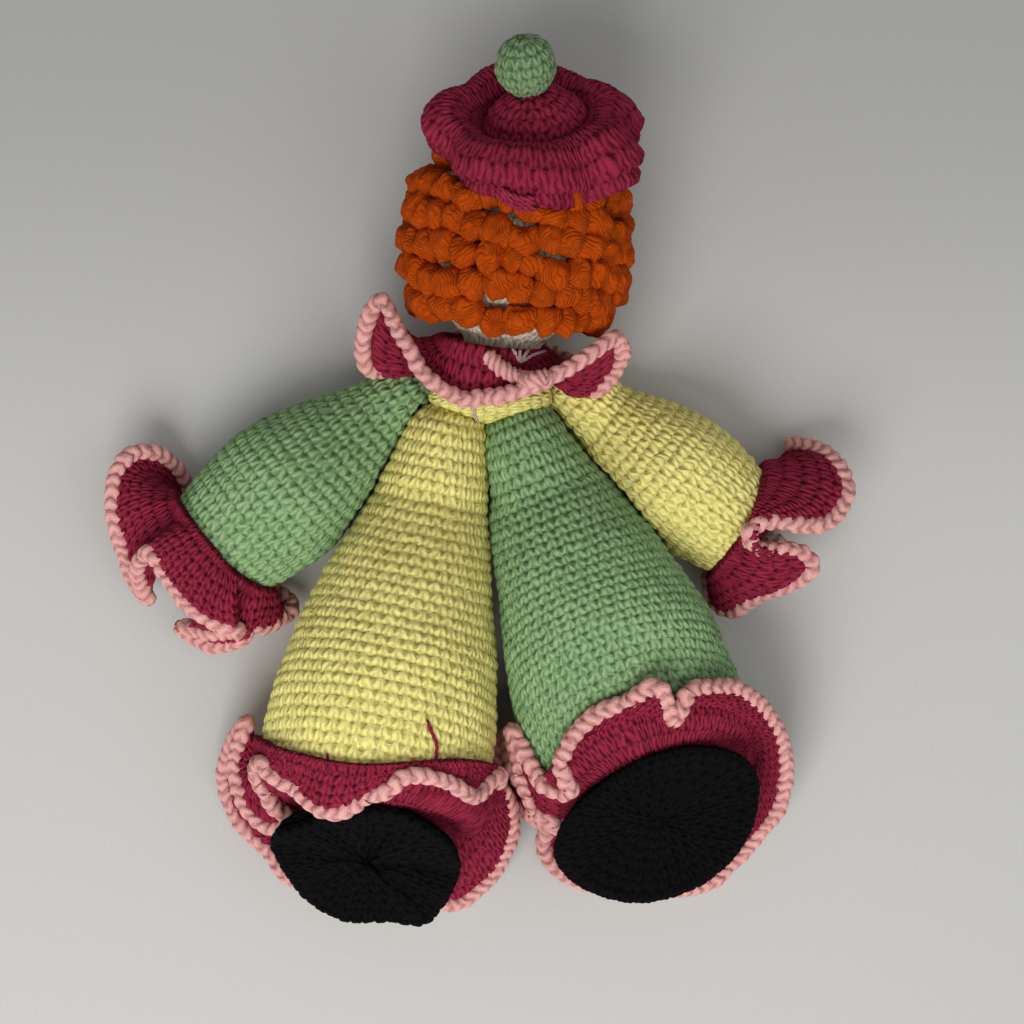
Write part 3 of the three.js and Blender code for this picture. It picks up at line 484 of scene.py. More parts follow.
def stuffed(node, body, rings, colour, relief=1.1, ridge=0.0, lean=0.35, step=None, press=None,
            stitch=STITCH):
    """Works the stuffed piece of a node: rings is a grid of points in mm, from first round to last."""
    points, along = even_rows(smooth_rows(rings), step or stitch / POINTS_PER_STITCH)
    if press is not None:
        points = press(points)
    cols = points.shape[1]
    rounds = along / stitch
    which = np.floor(rounds).astype(int)
    girth = np.linalg.norm(np.roll(points, -1, axis=1) - points, axis=2).sum(axis=1)
    count = np.ones(which.max() + 2)
    for k in range(which.max() + 1):
        mine = girth[which == k]
        count[k] = max(FEWEST, round(float(mine.mean()) / stitch)) if len(mine) else FEWEST
    count[-1] = count[-2]
    turn = np.arange(cols + 1) / cols
    start = lean * np.arange(len(count)) + 0.3 * scatter(np.arange(len(count)), 3.0)
    stitches = turn[None, :-1] * count[which][:, None] + start[which][:, None]
    pull = [PULL * lattice_noise(points, PULL_SIZE, seed) for seed in (1.0, 2.0)]
    height = strand_height(stitches + pull[0], rounds[:, None] + pull[1], ridge)
    height = (height + FINE_LUMP * lattice_noise(points, FINE_SIZE, 3.0)
              + BROAD_LUMP * lattice_noise(points, BROAD_SIZE, 4.0))
    normal = grid_normals(points)
    if (normal * (points - points.mean(axis=1, keepdims=True))).sum() < 0:
        normal = -normal
    worked = on_table(points + normal * (relief * (height - MEAN_HEIGHT))[..., None])
    middle = np.floor((rounds[1:] + rounds[:-1]) / 2).astype(int)
    left = turn[None, :-1] * count[middle][:, None] + start[middle][:, None]
    right = turn[None, 1:] * count[middle][:, None] + start[middle][:, None]
    low, high = rounds[:-1, None], rounds[1:, None]
    uv = corners_uv((left, low), (right, low), (right, high), (left, high))
    piece = grid_object(f"{node}_crochet", worked, uv, False, colour)
    return finish_piece(piece, body, [node])


# %% [markdown]
# ## Seams and rings
#
# Every piece is sewn on along a round seam. A seam's frame is its centre, a level direction across it,
# one that points up across it, and the way that the work goes on. Rings and ruffles are laid out in it.

# %% Seams and rings
def seam_frame(centre, normal):
    """The frame of a round seam: centre, side, lift and normal."""
    normal = unit(np.array(normal, float))
    side = unit(np.array([-normal[1], normal[0], 0.0]))
    return np.array(centre, float), side, np.cross(normal, side), normal


def around_seam(place, angle, radius, forward):
    """Points round a seam, at an angle, a radius and a way along its normal."""
    centre, side, lift, normal = place
    angle, radius, forward = (np.asarray(v, float)[..., None] for v in (angle, radius, forward))
    return centre + side * radius * np.cos(angle) + lift * radius * np.sin(angle) + normal * forward


def ring(place, half_width, half_height, cols, forward=0.0):
    """One oval round of a stuffed piece."""
    centre, side, lift, normal = place
    angle = 2 * np.pi * np.arange(cols)[:, None] / cols
    return centre + side * half_width * np.cos(angle) + lift * half_height * np.sin(angle) + normal * forward


def profile(pairs):
    """Smooth curve through station and radius pairs."""
    stations, radii = np.array(pairs, float).T
    slopes = np.empty(len(stations))
    slopes[1:-1] = (radii[2:] - radii[:-2]) / (stations[2:] - stations[:-2])
    slopes[0] = (radii[1] - radii[0]) / (stations[1] - stations[0])
    slopes[-1] = (radii[-1] - radii[-2]) / (stations[-1] - stations[-2])

    def radius_at(station):
        s = min(max(station, stations[0]), stations[-1])
        i = min(int(np.searchsorted(stations, s, side="right")) - 1, len(stations) - 2)
        w = stations[i + 1] - stations[i]
        u = (s - stations[i]) / w
        return float((2 * u ** 3 - 3 * u ** 2 + 1) * radii[i] + (u ** 3 - 2 * u ** 2 + u) * w * slopes[i]
                     + (3 * u ** 2 - 2 * u ** 3) * radii[i + 1] + (u ** 3 - u ** 2) * w * slopes[i + 1])

    return radius_at


# %% [markdown]
# ## Legs and arms
#
# Each limb is a cone worked from its sewn tip to its hem, stuffed, and lying on the table, so it is
# flat underneath. The legs slump: their rounds stand upright at the tip and lean back at the hem.
# Most numbers repeat the solids' driving dimensions, in millimetres. The legs' profiles, bow and, on
# the right, direction follow the photograph more closely, and differ from the solids by up to 4 mm.

# %% Limb form
FLAT_DEPTH = 0.5
LEG_LENGTH = 133.0
LEG_HINGE_Y = -20.9
LEG_HINGE_HEIGHT = 12.0
LEG_HEM_RADIUS = 43.0
LEG_SQUASH = 0.94
ARM_HINGE = (33.5, 1.5)
ARM_END_RADIUS = 24.0
ARM_SQUASH = 0.95
ARM_TIP = 9.2
HEM_ROUNDING = [(0.985, 1.2), (0.93, 3.2), (0.84, 4.4), (0.72, 5.2), (0.5, 5.9), (0.25, 6.2), (0.05, 6.3)]
LIMB_RINGS = 36


def limb_rings(limb, cols):
    """The rings of a stuffed limb, and the seam frame of its hem."""
    radius_at = profile(limb["profile"])
    direction = np.array(limb["direction"] + (0.0,))
    side = np.array([-direction[1], direction[0], 0.0])

    def frame_at(station):
        u = min(max(station / limb["length"], 0.0), 1.0)
        lean = math.radians(limb["slump"]) * u * u * (3 - 2 * u)
        radius = max(radius_at(station), limb["tip_radius"])
        height = max(radius * limb["squash"] * math.cos(lean), limb["hinge_height"]) - FLAT_DEPTH
        centre = np.array([limb["hinge"][0], limb["hinge"][1], height]) + direction * station
        centre = centre + side * limb["bow"] * math.sin(math.pi * u)
        return seam_frame(centre, direction * math.cos(lean) + np.array([0, 0, math.sin(lean)]))

    rings = []
    for station, half_width, half_height in limb["root"]:
        centre, side_way, _, _ = frame_at(station)
        centre[2] = half_height - FLAT_DEPTH
        rings.append(ring(seam_frame(centre, direction), half_width, half_height, cols))
    for station in np.linspace(limb["root_end"], limb["length"] - 3, LIMB_RINGS):
        flare = (limb["tip_width"] - limb["tip_radius"]) * max(0.0, 1 - station / limb["tip_blend"])
        radius = radius_at(station)
        rings.append(ring(frame_at(station), radius + flare, radius * limb["squash"], cols))
    hem = frame_at(limb["length"])
    for share, bulge in HEM_ROUNDING:
        radius = limb["hem_radius"] * share
        rings.append(ring(hem, radius, radius * limb["squash"], cols, bulge))
    return np.array(rings), hem, frame_at, radius_at


LEG_PROFILES = {
    "left": [(0, 12.6), (16, 20.2), (35, 26.8), (54, 32.6), (77, 38.5), (97, 42), (115, 43.4), (129, 43)],
    "right": [(0, 12.6), (16, 21.3), (35, 28.6), (54, 34), (77, 39.3), (97, 42.4), (115, 43.4), (129, 43)],
}
LEG_ROOT = [(-18.5, 4, 5), (-18, 9, 11), (-15, 12.5, 16), (-9, 15, 18.6), (-2, 17, 19.3), (6, 19, 20),
            (13, 21, 20.7)]
ARM_ROOT = [(-12.5, 3, 3), (-12, 7, 7), (-9, 10.5, 11), (-4, 12.3, 13), (3, 13.3, 13.7), (9, 14.4, 14.2)]
LEFT_ARM_LENGTH = 91
ARM_PROFILE = [(0, 9.2), (6, 12), (14, 15.5), (25, 19.5), (45, 26), (60, 28), (78, 26.5), (91, 24)]
LEG_COMMON = dict(root=LEG_ROOT, root_end=20.0, length=LEG_LENGTH, tip_radius=12.6, tip_blend=40,
                  hinge_height=LEG_HINGE_HEIGHT, hem_radius=LEG_HEM_RADIUS, squash=LEG_SQUASH)
LEGS = {
    "left": dict(LEG_COMMON, profile=LEG_PROFILES["left"], hinge=(-18.3, LEG_HINGE_Y),
                 direction=(-0.2, -0.98), tip_width=13.4, slump=22, bow=-2),
    "right": dict(LEG_COMMON, profile=LEG_PROFILES["right"], hinge=(15.1, LEG_HINGE_Y),
                  direction=(0.35, -0.937), tip_width=15.6, slump=40, bow=2),
}


def arm_form(sign, length, girth):
    """An arm to the left (-1) or right (1), with the left arm's profile made to its length and girth."""
    scaled = [(s * length / LEFT_ARM_LENGTH, r if s < 10 else r * girth) for s, r in ARM_PROFILE]
    return dict(root=ARM_ROOT, root_end=15.0, length=length, profile=scaled,
                tip_radius=ARM_TIP, tip_width=ARM_TIP, tip_blend=20,
                hinge_height=ARM_TIP * ARM_SQUASH, hem_radius=ARM_END_RADIUS * girth, squash=ARM_SQUASH,
                hinge=(sign * ARM_HINGE[0], ARM_HINGE[1]), direction=(sign * 0.769, -0.639), slump=0, bow=0)


ARMS = {"left": arm_form(-1, LEFT_ARM_LENGTH, 1.0), "right": arm_form(1, 80, 0.9)}
print("legs", LEG_LENGTH, "mm long, arms", [arm["length"] for arm in ARMS.values()])


# %% Keeping clear of a neighbour
REACH = 14.0


def tree_of(rings):
    """A search tree of a form, to keep its neighbours clear of it, with the form's middle."""
    tree = BVHTree.FromPolygons(rings.reshape(-1, 3).tolist(), quads_of(*rings.shape[:2]).tolist())
    return tree, Vector(rings.reshape(-1, 3).mean(axis=0))


def clear_of(form, gap):
    """Moves the points that come too near another form out to the gap."""
    tree, middle = form

    def press(points):
        flat = points.reshape(-1, 3)
        for i, point in enumerate(flat):
            spot, normal, _, distance = tree.find_nearest(Vector(point), REACH)
            if spot is None:
                continue
            outward = normal if normal.dot(spot - middle) > 0 else -normal
            inside = (Vector(point) - spot).dot(outward) < 0
            depth = -distance if inside else distance
            if depth < gap:
                flat[i] = spot + outward * gap
        return flat.reshape(points.shape)

    return press


# %% Legs and arms
COARSE = 48
ARM_GAP = 1.4
# Each limb's colour, how strongly its rounds show as ridges, and how its stitches lean from round to round.
LEG_LOOKS = {"left": ("yellow", 0.2, 0.12), "right": ("green", 0.08, 0.42)}
ARM_LOOKS = {"left": ("green", 0.1, 0.4), "right": ("yellow", 0.15, 0.3)}
hems, forms = {}, {}
for side, leg in LEGS.items():
    rings, hems[side + "_leg"], _, _ = limb_rings(leg, 330)
    forms[side + "_leg"] = tree_of(limb_rings(leg, COARSE)[0])
    colour, ridge, lean = LEG_LOOKS[side]
    piece = stuffed(f"{side}_leg", None, rings, colour, ridge=ridge, lean=lean, step=0.78)
    x = leg["hinge"][0] / 1000
    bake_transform(piece)

for side, arm in ARMS.items():
    rings, hems[side + "_arm"], _, _ = limb_rings(arm, 216)
    forms[side + "_arm"] = tree_of(limb_rings(arm, COARSE)[0])
    colour, ridge, lean = ARM_LOOKS[side]
    piece = stuffed(f"{side}_arm", None, rings, colour, ridge=ridge, lean=lean, step=0.8,
                    press=clear_of(forms[side + "_leg"], ARM_GAP))
    way = np.array(arm["direction"])
    tip = np.array(arm["hinge"])
    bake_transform(piece)

# %% [markdown]
# ## Ruffles
#
# Each ruffle is a strip worked in rounds onto a seam, with more stitches in its free edge than the seam
# has, so it stands in folds. Its free edge is edged with a pink cord of stitches. A free edge is given
# either as a fold list (turn in degrees, reach beyond the seam, and drop along the seam's direction) or
# as the places in space where the edge passes, judged from the photograph. Cloth simulation would
# fall into folds of its own; rows of an edge keep the folds that this doll has.

# %% Ruffle form
# Values round a seam or a sole are averaged over these degrees.
SPREAD = (-8, -4, 0, 4, 8)


def closed_curve(points, at):
    """Smooth closed curve through points, read at shares of one turn."""
    points = np.asarray(points, float)
    n = len(points)
    place = frac(np.asarray(at, float)) * n
    i = np.floor(place).astype(int)
    return curve_between(*(points[(i + k) % n] for k in (-1, 0, 1, 2)), (place - i)[..., None])


def folded_edge(place, seam_radius, folds):
    """A free edge from a fold list, as rows of seam angle in degrees and place in mm."""
    step = 360 / len(folds)
    return [(step * i, *around_seam(place, math.radians(step * i + turn), seam_radius + reach, drop))
            for i, (turn, reach, drop) in enumerate(folds)]


def ruffle_form(place, seam, edge, bulge, belly, floor, inner=(0.0, 0.0)):
    """Two functions of the turn: cloth from seam (0) to free edge (1), and the rounds inside the seam."""
    edge = np.array(edge, float)
    even = 360 * np.arange(len(edge)) / len(edge)
    at, radius, forward = np.array(seam, float).T
    at = np.concatenate([at - 360, at, at + 360])

    def seam_at(turn):
        degrees = closed_curve(edge[:, :1] - even[:, None], turn)[..., 0] + 360 * turn
        near = [(degrees + off) % 360 for off in SPREAD]
        smooth = [sum(np.interp(a, at, np.tile(row, 3)) for a in near) / len(near)
                  for row in (radius, forward)]
        return np.radians(degrees), *smooth

    def middle(turn, across):
        turn, across = np.broadcast_arrays(np.asarray(turn, float), np.asarray(across, float))
        angle, radius_there, forward_there = seam_at(turn)
        start = around_seam(place, angle, radius_there, forward_there)
        point = start + (closed_curve(edge[:, 1:], turn) - start) * across[..., None]
        arch = np.sin(np.pi * np.minimum(across, 1.0))
        puffed = around_seam(place, angle, belly * arch, bulge * arch) - place[0]
        return on_table(point + puffed, floor, 2.0)

    def inside(turn, share):
        turn, share = np.broadcast_arrays(np.asarray(turn, float), np.asarray(share, float))
        angle, radius_there, forward_there = seam_at(turn)
        return around_seam(place, angle, inner[0] + (radius_there - inner[0]) * np.sin(np.pi / 2 * share),
                           inner[1] + (forward_there - inner[1]) * (1 - np.cos(np.pi / 2 * share)))

    return middle, inside


# %% Ruffle cloth
CLOTH = 3.2
FACE_SHARE = 0.75
FACE_RELIEF = 1.0
RIM_SHARE = 0.06
EDGING_RADIUS = 2.1


def ruffle(node, body, place, seam, edge, bulge=3.0, belly=0.0, layer=0.0, floor=EDGING_RADIUS + 0.9,
           far=0.97, inner=None, press=None):
    """Makes the cloth of a ruffle as one closed sheet with stitches on both faces."""
    middle, inside = ruffle_form(place, seam, edge, bulge, belly, floor, inner or (0.0, 0.0))
    fine = np.linspace(0, 1, 1441)
    length = lengths_along(middle(fine, 0.8))
    stitches = int(round(length[-1] / STITCH))
    cols = stitches * POINTS_PER_STITCH
    turns = np.interp(np.arange(cols) / cols * length[-1], length, fine)
    depth = float(np.linalg.norm(middle(turns, 1.0) - middle(turns, 0.0), axis=1).mean()) * 1.08
    rounds = max(2, round(depth / STITCH))
    across = np.linspace(0.0, far, rounds * POINTS_PER_STITCH + 1)
    grid = middle(turns[:, None], across[None, :])
    r = np.linspace(0, rounds, len(across))
    inner_depth = 0.0
    if inner is not None:
        path = inside(turns[:, None], np.linspace(0, 1, 9)[None, :])
        inner_depth = float(np.linalg.norm(np.diff(path, axis=1), axis=2).sum(axis=1).mean())
        share = np.linspace(0, 1, int(round(inner_depth / STITCH * POINTS_PER_STITCH)), endpoint=False)
        grid = np.concatenate([inside(turns[:, None], share[None, :]), grid], axis=1)
        r = np.concatenate([(share - 1) * inner_depth / STITCH, r])
        across = np.concatenate([0 * share, across])
    if press is not None:
        grid = press(grid)
    along = np.roll(grid, -1, axis=0) - np.roll(grid, 1, axis=0)
    normal = unit(np.cross(along, np.gradient(grid, axis=1)))
    s = np.arange(cols)[:, None] / POINTS_PER_STITCH
    v = np.concatenate([r, r[::-1]])[None]
    r = r[None, :]
    front = strand_height(s + 0 * r, r + 0 * s)
    back = strand_height(s + 0.5 + 0 * r, r + 0.4 + 0 * s)
    past = ((across - far * (1 - RIM_SHARE)) / (far * RIM_SHARE)).clip(0, 1)
    rim = np.sqrt(np.clip(1 - past ** 2, 0, 1))[None, :]
    half = CLOTH / 2 * rim * FACE_SHARE
    upper = grid + normal * (layer + half + FACE_RELIEF * (front - 0.4) * rim)[..., None]
    lower = grid + normal * (layer - half - FACE_RELIEF * (back - 0.4) * rim)[..., None]
    section = on_table(np.concatenate([upper, lower[:, ::-1]], axis=1), 0.4, 0.6)
    s_next, v_next = s + 1 / POINTS_PER_STITCH, np.roll(v, -1)
    uv = corners_uv((s, v), (s, v_next), (s_next, v_next), (s_next, v))
    piece = grid_object(f"{node}_crochet", section, uv, True, "crimson")
    finish_piece(piece, body, [node])
    right, up = np.roll(section, -1, 0) - section, np.roll(section, -1, 1) - section
    surface = np.linalg.norm(np.cross(right, up), axis=-1).sum() / 2
    # The finished surface is larger than the flat cloth by the height of its stitches.
    return middle


# %% [markdown]
# ## Cords and edging
#
# A loose end is a cord of twisted strands. The pink edging is a chain of stitches: seen from outside,
# the two legs of each stitch make a V, and there is a groove between them.

# %% Cords
CORD_STITCH = 4.0


def cord_mesh(name, line, radius, material, strands=2, stitch=CORD_STITCH, per_stitch=7, sides=14,
              depth=0.2, normals=None):
    """A cord along points in mm: twisted strands or, closed and with normals, a chain of V stitches."""
    line = np.asarray(line, float)
    chain = normals is not None
    if chain:
        line = np.concatenate([line, line[:1]])
    along = lengths_along(line)
    rows = max(2, int(round(along[-1] / stitch))) * per_stitch
    where = np.arange(rows) / rows * along[-1] if chain else np.linspace(0, along[-1], rows)
    centre = points_at(line, along, where)
    if chain:
        tangent = unit(np.roll(centre, -1, axis=0) - np.roll(centre, 1, axis=0))
        guide = points_at(np.concatenate([normals, normals[:1]]), along, where)
        side = unit(guide - tangent * (guide * tangent).sum(axis=1, keepdims=True))
    else:
        tangent = unit(np.gradient(centre, axis=0))
        side = unit(np.cross(tangent, np.array([0, 0, 1.0]) + 1e-3))
    lift = np.cross(tangent, side)
    phi = 2 * np.pi * np.arange(sides) / sides
    s = (np.arange(rows) / per_stitch)[:, None]
    if chain:
        off_middle = np.abs(frac(phi / np.pi)[None, :] - 0.5) * 2
        legs = np.abs(np.sin(np.pi * (s + 0.5 * off_middle))) ** 0.6
        swell = 1 + depth * (legs - 0.6) - 0.14 * np.exp(-(off_middle / 0.2) ** 2)
    else:
        swell = 1 + depth * np.cos(strands * phi[None, :] - 2 * np.pi * s)
    swell = swell * (0.92 + 0.16 * scatter(np.floor(s)))
    if not chain:
        ends = np.clip(np.minimum(np.arange(rows), rows - 1 - np.arange(rows)) / 3.0, 0, 1)[:, None]
        swell = swell * np.sqrt(np.clip(ends, 0.08, 1))
    points = (centre[:, None] + side[:, None] * (radius * swell * np.cos(phi))[..., None]
              + lift[:, None] * (radius * swell * np.sin(phi))[..., None])
    points = on_table(points + 0.12 * radius * lattice_noise(points, 2.6)[..., None], 0.3, 0.4)

    def wound(t, at):
        if chain:
            return at + np.abs(frac(2 * t) - 0.5), 3.0 * t
        return strands * t - at + 0.5, at * 2.0

    turn = (np.arange(sides) / sides)[None, :]
    first = (np.arange(rows if chain else rows - 1) / per_stitch)[:, None]
    after, turned = first + 1 / per_stitch, turn + 1 / sides
    uv = corners_uv(wound(turn, first), wound(turned, first), wound(turned, after), wound(turn, after))
    return grid_object(name, points, uv, chain, material)


# %% Edging
CORD_RADIUS = 3.0
CORD_SWAY, SWAY_SIZE = 0.5, 9.0
EDGING_STITCH = 4.6


def edging(node, body, middle, beyond=EDGING_RADIUS + 0.2, press=None):
    """The pink cord of stitches on a ruffle's free edge."""
    turns = np.linspace(0, 1, 1400, endpoint=False)
    rim = middle(turns, 1.0)
    outward = unit(rim - middle(turns, 0.9))
    centre = rim + outward * beyond
    if press is not None:
        centre = press(centre)
    centre[:, 2] = np.maximum(centre[:, 2], CORD_RADIUS * 1.1)
    sway = np.stack([lattice_noise(centre, SWAY_SIZE, seed) for seed in (1.0, 2.0, 3.0)], axis=-1)
    centre = centre + CORD_SWAY * sway
    piece = cord_mesh(f"{node}_crochet", centre, CORD_RADIUS, "pink_cord", normals=outward, depth=0.3,
                      sides=24, per_stitch=10, stitch=EDGING_STITCH)
    return finish_piece(piece, body, [node])


# %% [markdown]
# ## Ankle and cuff ruffles
#
# These four are the doll's most lively forms. Each row says at which angle round the hem a place of the
# edge is sewn on and where it lies. The two ankle ruffles stand up behind the hem and fold back on the
# leg; the cuffs open towards the hands. A ruffle's inner rounds go down to the ankle or the wrist.

# %% Ankle and cuff edges
# Rows of an edge: seam angle in degrees, then where the pink cord lies, in mm.
ANKLE_EDGES = {
    "left": [
        (-75, -24, -197, 4), (-50, -15, -200, 5), (-30, -7, -195, 7), (-12, 3, -184, 12), (5, 8, -168, 20),
        (20, 7, -156, 28), (33, 0, -146, 38), (45, -7, -141, 46), (55, -10, -147, 56), (65, -19, -140, 66),
        (77, -30, -138, 71), (90, -42, -145, 72), (102, -54, -152, 70), (114, -64, -150, 66),
        (126, -72, -142, 60), (136, -79, -137, 54), (146, -85, -142, 47), (156, -83, -154, 40),
        (165, -76, -162, 33), (173, -85, -166, 27), (182, -95, -157, 25), (190, -98, -141, 27),
        (198, -93, -125, 30), (206, -102, -138, 17), (216, -105, -152, 10), (228, -99, -168, 6),
        (242, -88, -180, 4), (255, -81, -189, 4), (267, -65, -195, 4), (277, -43, -196, 4),
    ],
    "right": [
        (-60, 84, -193, 4), (-40, 96, -183, 6), (-22, 105, -171, 12), (-8, 111, -161, 20), (6, 113, -148, 28),
        (20, 111, -133, 36), (34, 104, -120, 44), (48, 94, -111, 53), (62, 83, -108, 60), (74, 73, -110, 64),
        (82, 67, -120, 64), (90, 63, -110, 68), (99, 58, -108, 69), (108, 51, -113, 66),
        (118, 41, -116, 61), (128, 33, -124, 57), (137, 29, -135, 52), (145, 30, -144, 48),
        (152, 22, -144, 46), (160, 18, -134, 44), (168, 12, -125, 42), (175, 12, -137, 38),
        (182, 19, -151, 35), (189, 28, -156, 32), (196, 19, -158, 28), (203, 9, -144, 27),
        (210, 6, -130, 27), (218, 4, -146, 20), (226, 11, -160, 16), (234, 22, -167, 13),
        (245, 21, -176, 8), (258, 26, -186, 5), (270, 38, -192, 4), (284, 55, -195, 4),
    ],
}
CUFF_EDGES = {
    "left": [
        (-30, -79, -80, 8), (-10, -80, -85, 14), (8, -87, -89, 20), (22, -93, -89, 25), (34, -96, -94, 24),
        (42, -109, -96, 18), (50, -121, -90, 14), (57, -109, -91, 22), (62, -96, -90, 33),
        (68, -103, -87, 38), (77, -110, -82, 41), (87, -116, -76, 43), (98, -122, -68, 43),
        (108, -126, -61, 42), (116, -131, -61, 36),
        (124, -136, -69, 26), (130, -134, -78, 16), (137, -140, -71, 14), (145, -142, -60, 20),
        (155, -144, -51, 26), (168, -145, -41, 27), (182, -144, -30, 26), (196, -139, -22, 22),
        (212, -132, -21, 16), (230, -125, -26, 8), (250, -120, -35, 4), (270, -117, -47, 4),
        (290, -108, -59, 4), (310, -94, -71, 4),
    ],
    "right": [
        (-80, 121, -31, 4), (-55, 122, -22, 5), (-32, 119, -18, 8), (-14, 128, -20, 18), (6, 134, -27, 27),
        (24, 136, -36, 33), (40, 133, -43, 36), (50, 126, -49, 40), (60, 115, -49, 43), (70, 106, -48, 45),
        (78, 100, -49, 45), (86, 97, -52.5, 45), (94, 99, -57, 43), (102, 103.5, -58.5, 41),
        (110, 111.5, -58.5, 39), (118, 118, -60, 37), (126, 122.5, -64.5, 34), (135, 119, -69.5, 32),
        (146, 112, -73.5, 29), (157, 104, -76.5, 26), (167, 98.5, -80, 22), (177, 94, -83, 17),
        (190, 89, -80, 12), (205, 86, -73, 10), (222, 88, -67, 6), (240, 95, -66, 4), (260, 107, -60, 4),
    ],
}

# %% Ankle and cuff ruffles
# Rows of a seam: angle in degrees, radius, and how far in front of the hem it is sewn.
ANKLE_SEAMS = {
    "left": [(0, 42, -6), (20, 43.6, -17), (50, 43.6, -13), (72, 43, -6), (90, 42.6, -1), (110, 42.6, 0),
             (135, 43.4, -3), (158, 43.6, -9), (175, 43.6, -14), (195, 41, -6), (215, 35, 7), (270, 34, 7.4),
             (335, 34.5, 7)],
    "right": [(0, 40, 3), (25, 43.6, 0), (90, 42.6, -2), (150, 43.4, -2), (175, 43, 0), (205, 35, 7),
              (270, 34, 7.4), (335, 34.5, 7)],
}
CUFF_SEAMS = {
    "left": [(0, 25, -6), (30, 25, -2), (60, 24, 0), (120, 24, 0), (180, 24, 0), (215, 20, 6.8),
             (270, 19.5, 7), (325, 22, 3)],
    "right": [(0, 24.5, -8), (40, 24, -5), (90, 21.6, 2), (140, 21, 3), (180, 20.5, 3.5), (215, 17.8, 6.8),
              (270, 17.6, 7), (325, 22, -3)],
}
CLOTH_GAP = 2.1
CORD_GAP = 3.8
# Name, limb, radius and place of the first round inside the seam, rows, and how far the cloth is puffed.
LIMB_RUFFLES = [("ankle", "leg", (19, 8.6), ANKLE_EDGES, ANKLE_SEAMS, 1.0),
                ("cuff", "arm", (9.2, 8.6), CUFF_EDGES, CUFF_SEAMS, 3.5)]
for side in ("left", "right"):
    for kind, limb, inner, edges, seams, belly in LIMB_RUFFLES:
        form, body = forms[f"{side}_{limb}"], f"{side}_{limb}_unit"
        middle = ruffle(f"{side}_{kind}_ruffle", body, hems[f"{side}_{limb}"], seams[side], edges[side],
                        bulge=2, belly=belly, far=0.93, inner=inner, press=clear_of(form, CLOTH_GAP))
        edging(f"{side}_{kind}_edging", body, middle, beyond=0, press=clear_of(form, CORD_GAP))

# %% [markdown]
# ## Yoke, collar and neck
#
# The yoke is the small stuffed pad that head, arms and legs are sewn to. The collar is a ruffle sewn
# round the neck; its cloth rises behind the head and hangs over the shoulders.

# %% Yoke and collar
HEAD_AXIS = unit(np.array([0.136, 0.975, 0.175]))
HEAD_RADIUS = 34.5
HEAD_HALF_LENGTH = 36.0
HEAD_ROUNDNESS = 2.6
HEAD_CENTRE = np.array([9.9, 57.0, HEAD_RADIUS + 5.6])
YOKE_HALF = (24.0, 10.0, 20.5)
COLLAR_SEAM_RADIUS = 19.5
COLLAR_CENTRE = (1.9, 20.0, 34.2)

yoke_place = seam_frame((0, 0, YOKE_HALF[2] - FLAT_DEPTH), (1, 0, 0))
yoke_rings = [ring(yoke_place, YOKE_HALF[1] * math.cos(a), YOKE_HALF[2] * math.cos(a), 140,
                   YOKE_HALF[0] * math.sin(a)) for a in np.radians(np.linspace(-86, 86, 17))]
stuffed("yoke", "torso", np.array(yoke_rings), "yellow", relief=0.9)

COLLAR_FOLDS = [
    (8, 27, 2), (0, 27, -7), (0, 17, 6), (0, 8, 16), (0, 2, 20), (0, 2, 21), (0, 8, 17), (-4, 17, 3),
    (-15, 25, -9), (-26, 28, 6), (-37, 23, 18), (-12, 10, 5), (0, 6, 1), (12, 9, 4), (24, 16, 8),
    (18, 20, 14),
]
collar_place = seam_frame(COLLAR_CENTRE, -HEAD_AXIS)
middle = ruffle("collar_ruffle", "torso", collar_place, [(0, COLLAR_SEAM_RADIUS, 0)],
                folded_edge(collar_place, COLLAR_SEAM_RADIUS, COLLAR_FOLDS), bulge=7)
edging("collar_edging", "torso", middle)

# %% [markdown]
# ## Head
#
# The head is a barrel-shaped stuffed ball with a short neck, in off-white yarn. Its outline is a rounded
# square in section along the head, which a power higher than 2 in the oval's formula gives.

# %% Head
NECK_RADIUS = 14.5
head_place = seam_frame(HEAD_CENTRE, HEAD_AXIS)


def head_radius_at(station):
    """Radius of the bare head at a way along its axis from the middle."""
    share = np.minimum(np.abs(station) / HEAD_HALF_LENGTH, 1.0)
    return HEAD_RADIUS * (1 - share ** HEAD_ROUNDNESS) ** (1 / HEAD_ROUNDNESS)


HEAD_STATIONS = [35.9, 35.3, 34, 32, 29, 26, 22, 17, 11, 6, 0, -6, -11, -17, -22, -26, -29, -31.5, -33]
NECK_ROWS = [(17.5, -34.6), (NECK_RADIUS + 0.8, -36.5), (NECK_RADIUS, -40), (NECK_RADIUS, -44),
             (NECK_RADIUS, -48.5)]
head_rows = [(head_radius_at(s), s) for s in HEAD_STATIONS] + NECK_ROWS
head_rings = [ring(head_place, radius, radius, 220, station) for radius, station in head_rows]
stuffed("head", "head_unit", np.array(head_rings), "white", relief=0.9, step=0.95)

# %% [markdown]
# ## Hair
#
# The hair is made of ropes of plump loops wound round the back of the head. Each rope here is a row of
# soft lobes along a line on the head. The strands run slantwise round each lobe, and every lobe has a
# size, a lift and a slant of its own, so that the ropes look wound by hand.

# %% Hair
HAIR_ROPES = 6
HAIR_PITCH = 9.1
HAIR_LOWEST = -23.4
HAIR_RADIUS = 4.4
HAIR_SLANT = (-0.02, 0.15)
HAIR_ARC = (math.radians(-18), math.radians(198))
LOBE = 9.0
HAIR_STEP = 0.42
HAIR_SIDES = 44
STRAND = 1.7
HAIR_WIDTH = 1.08
LOBE_LIFT, LOBE_SWAY = 1.6, 3.4
LOOP_RELIEF = 0.14
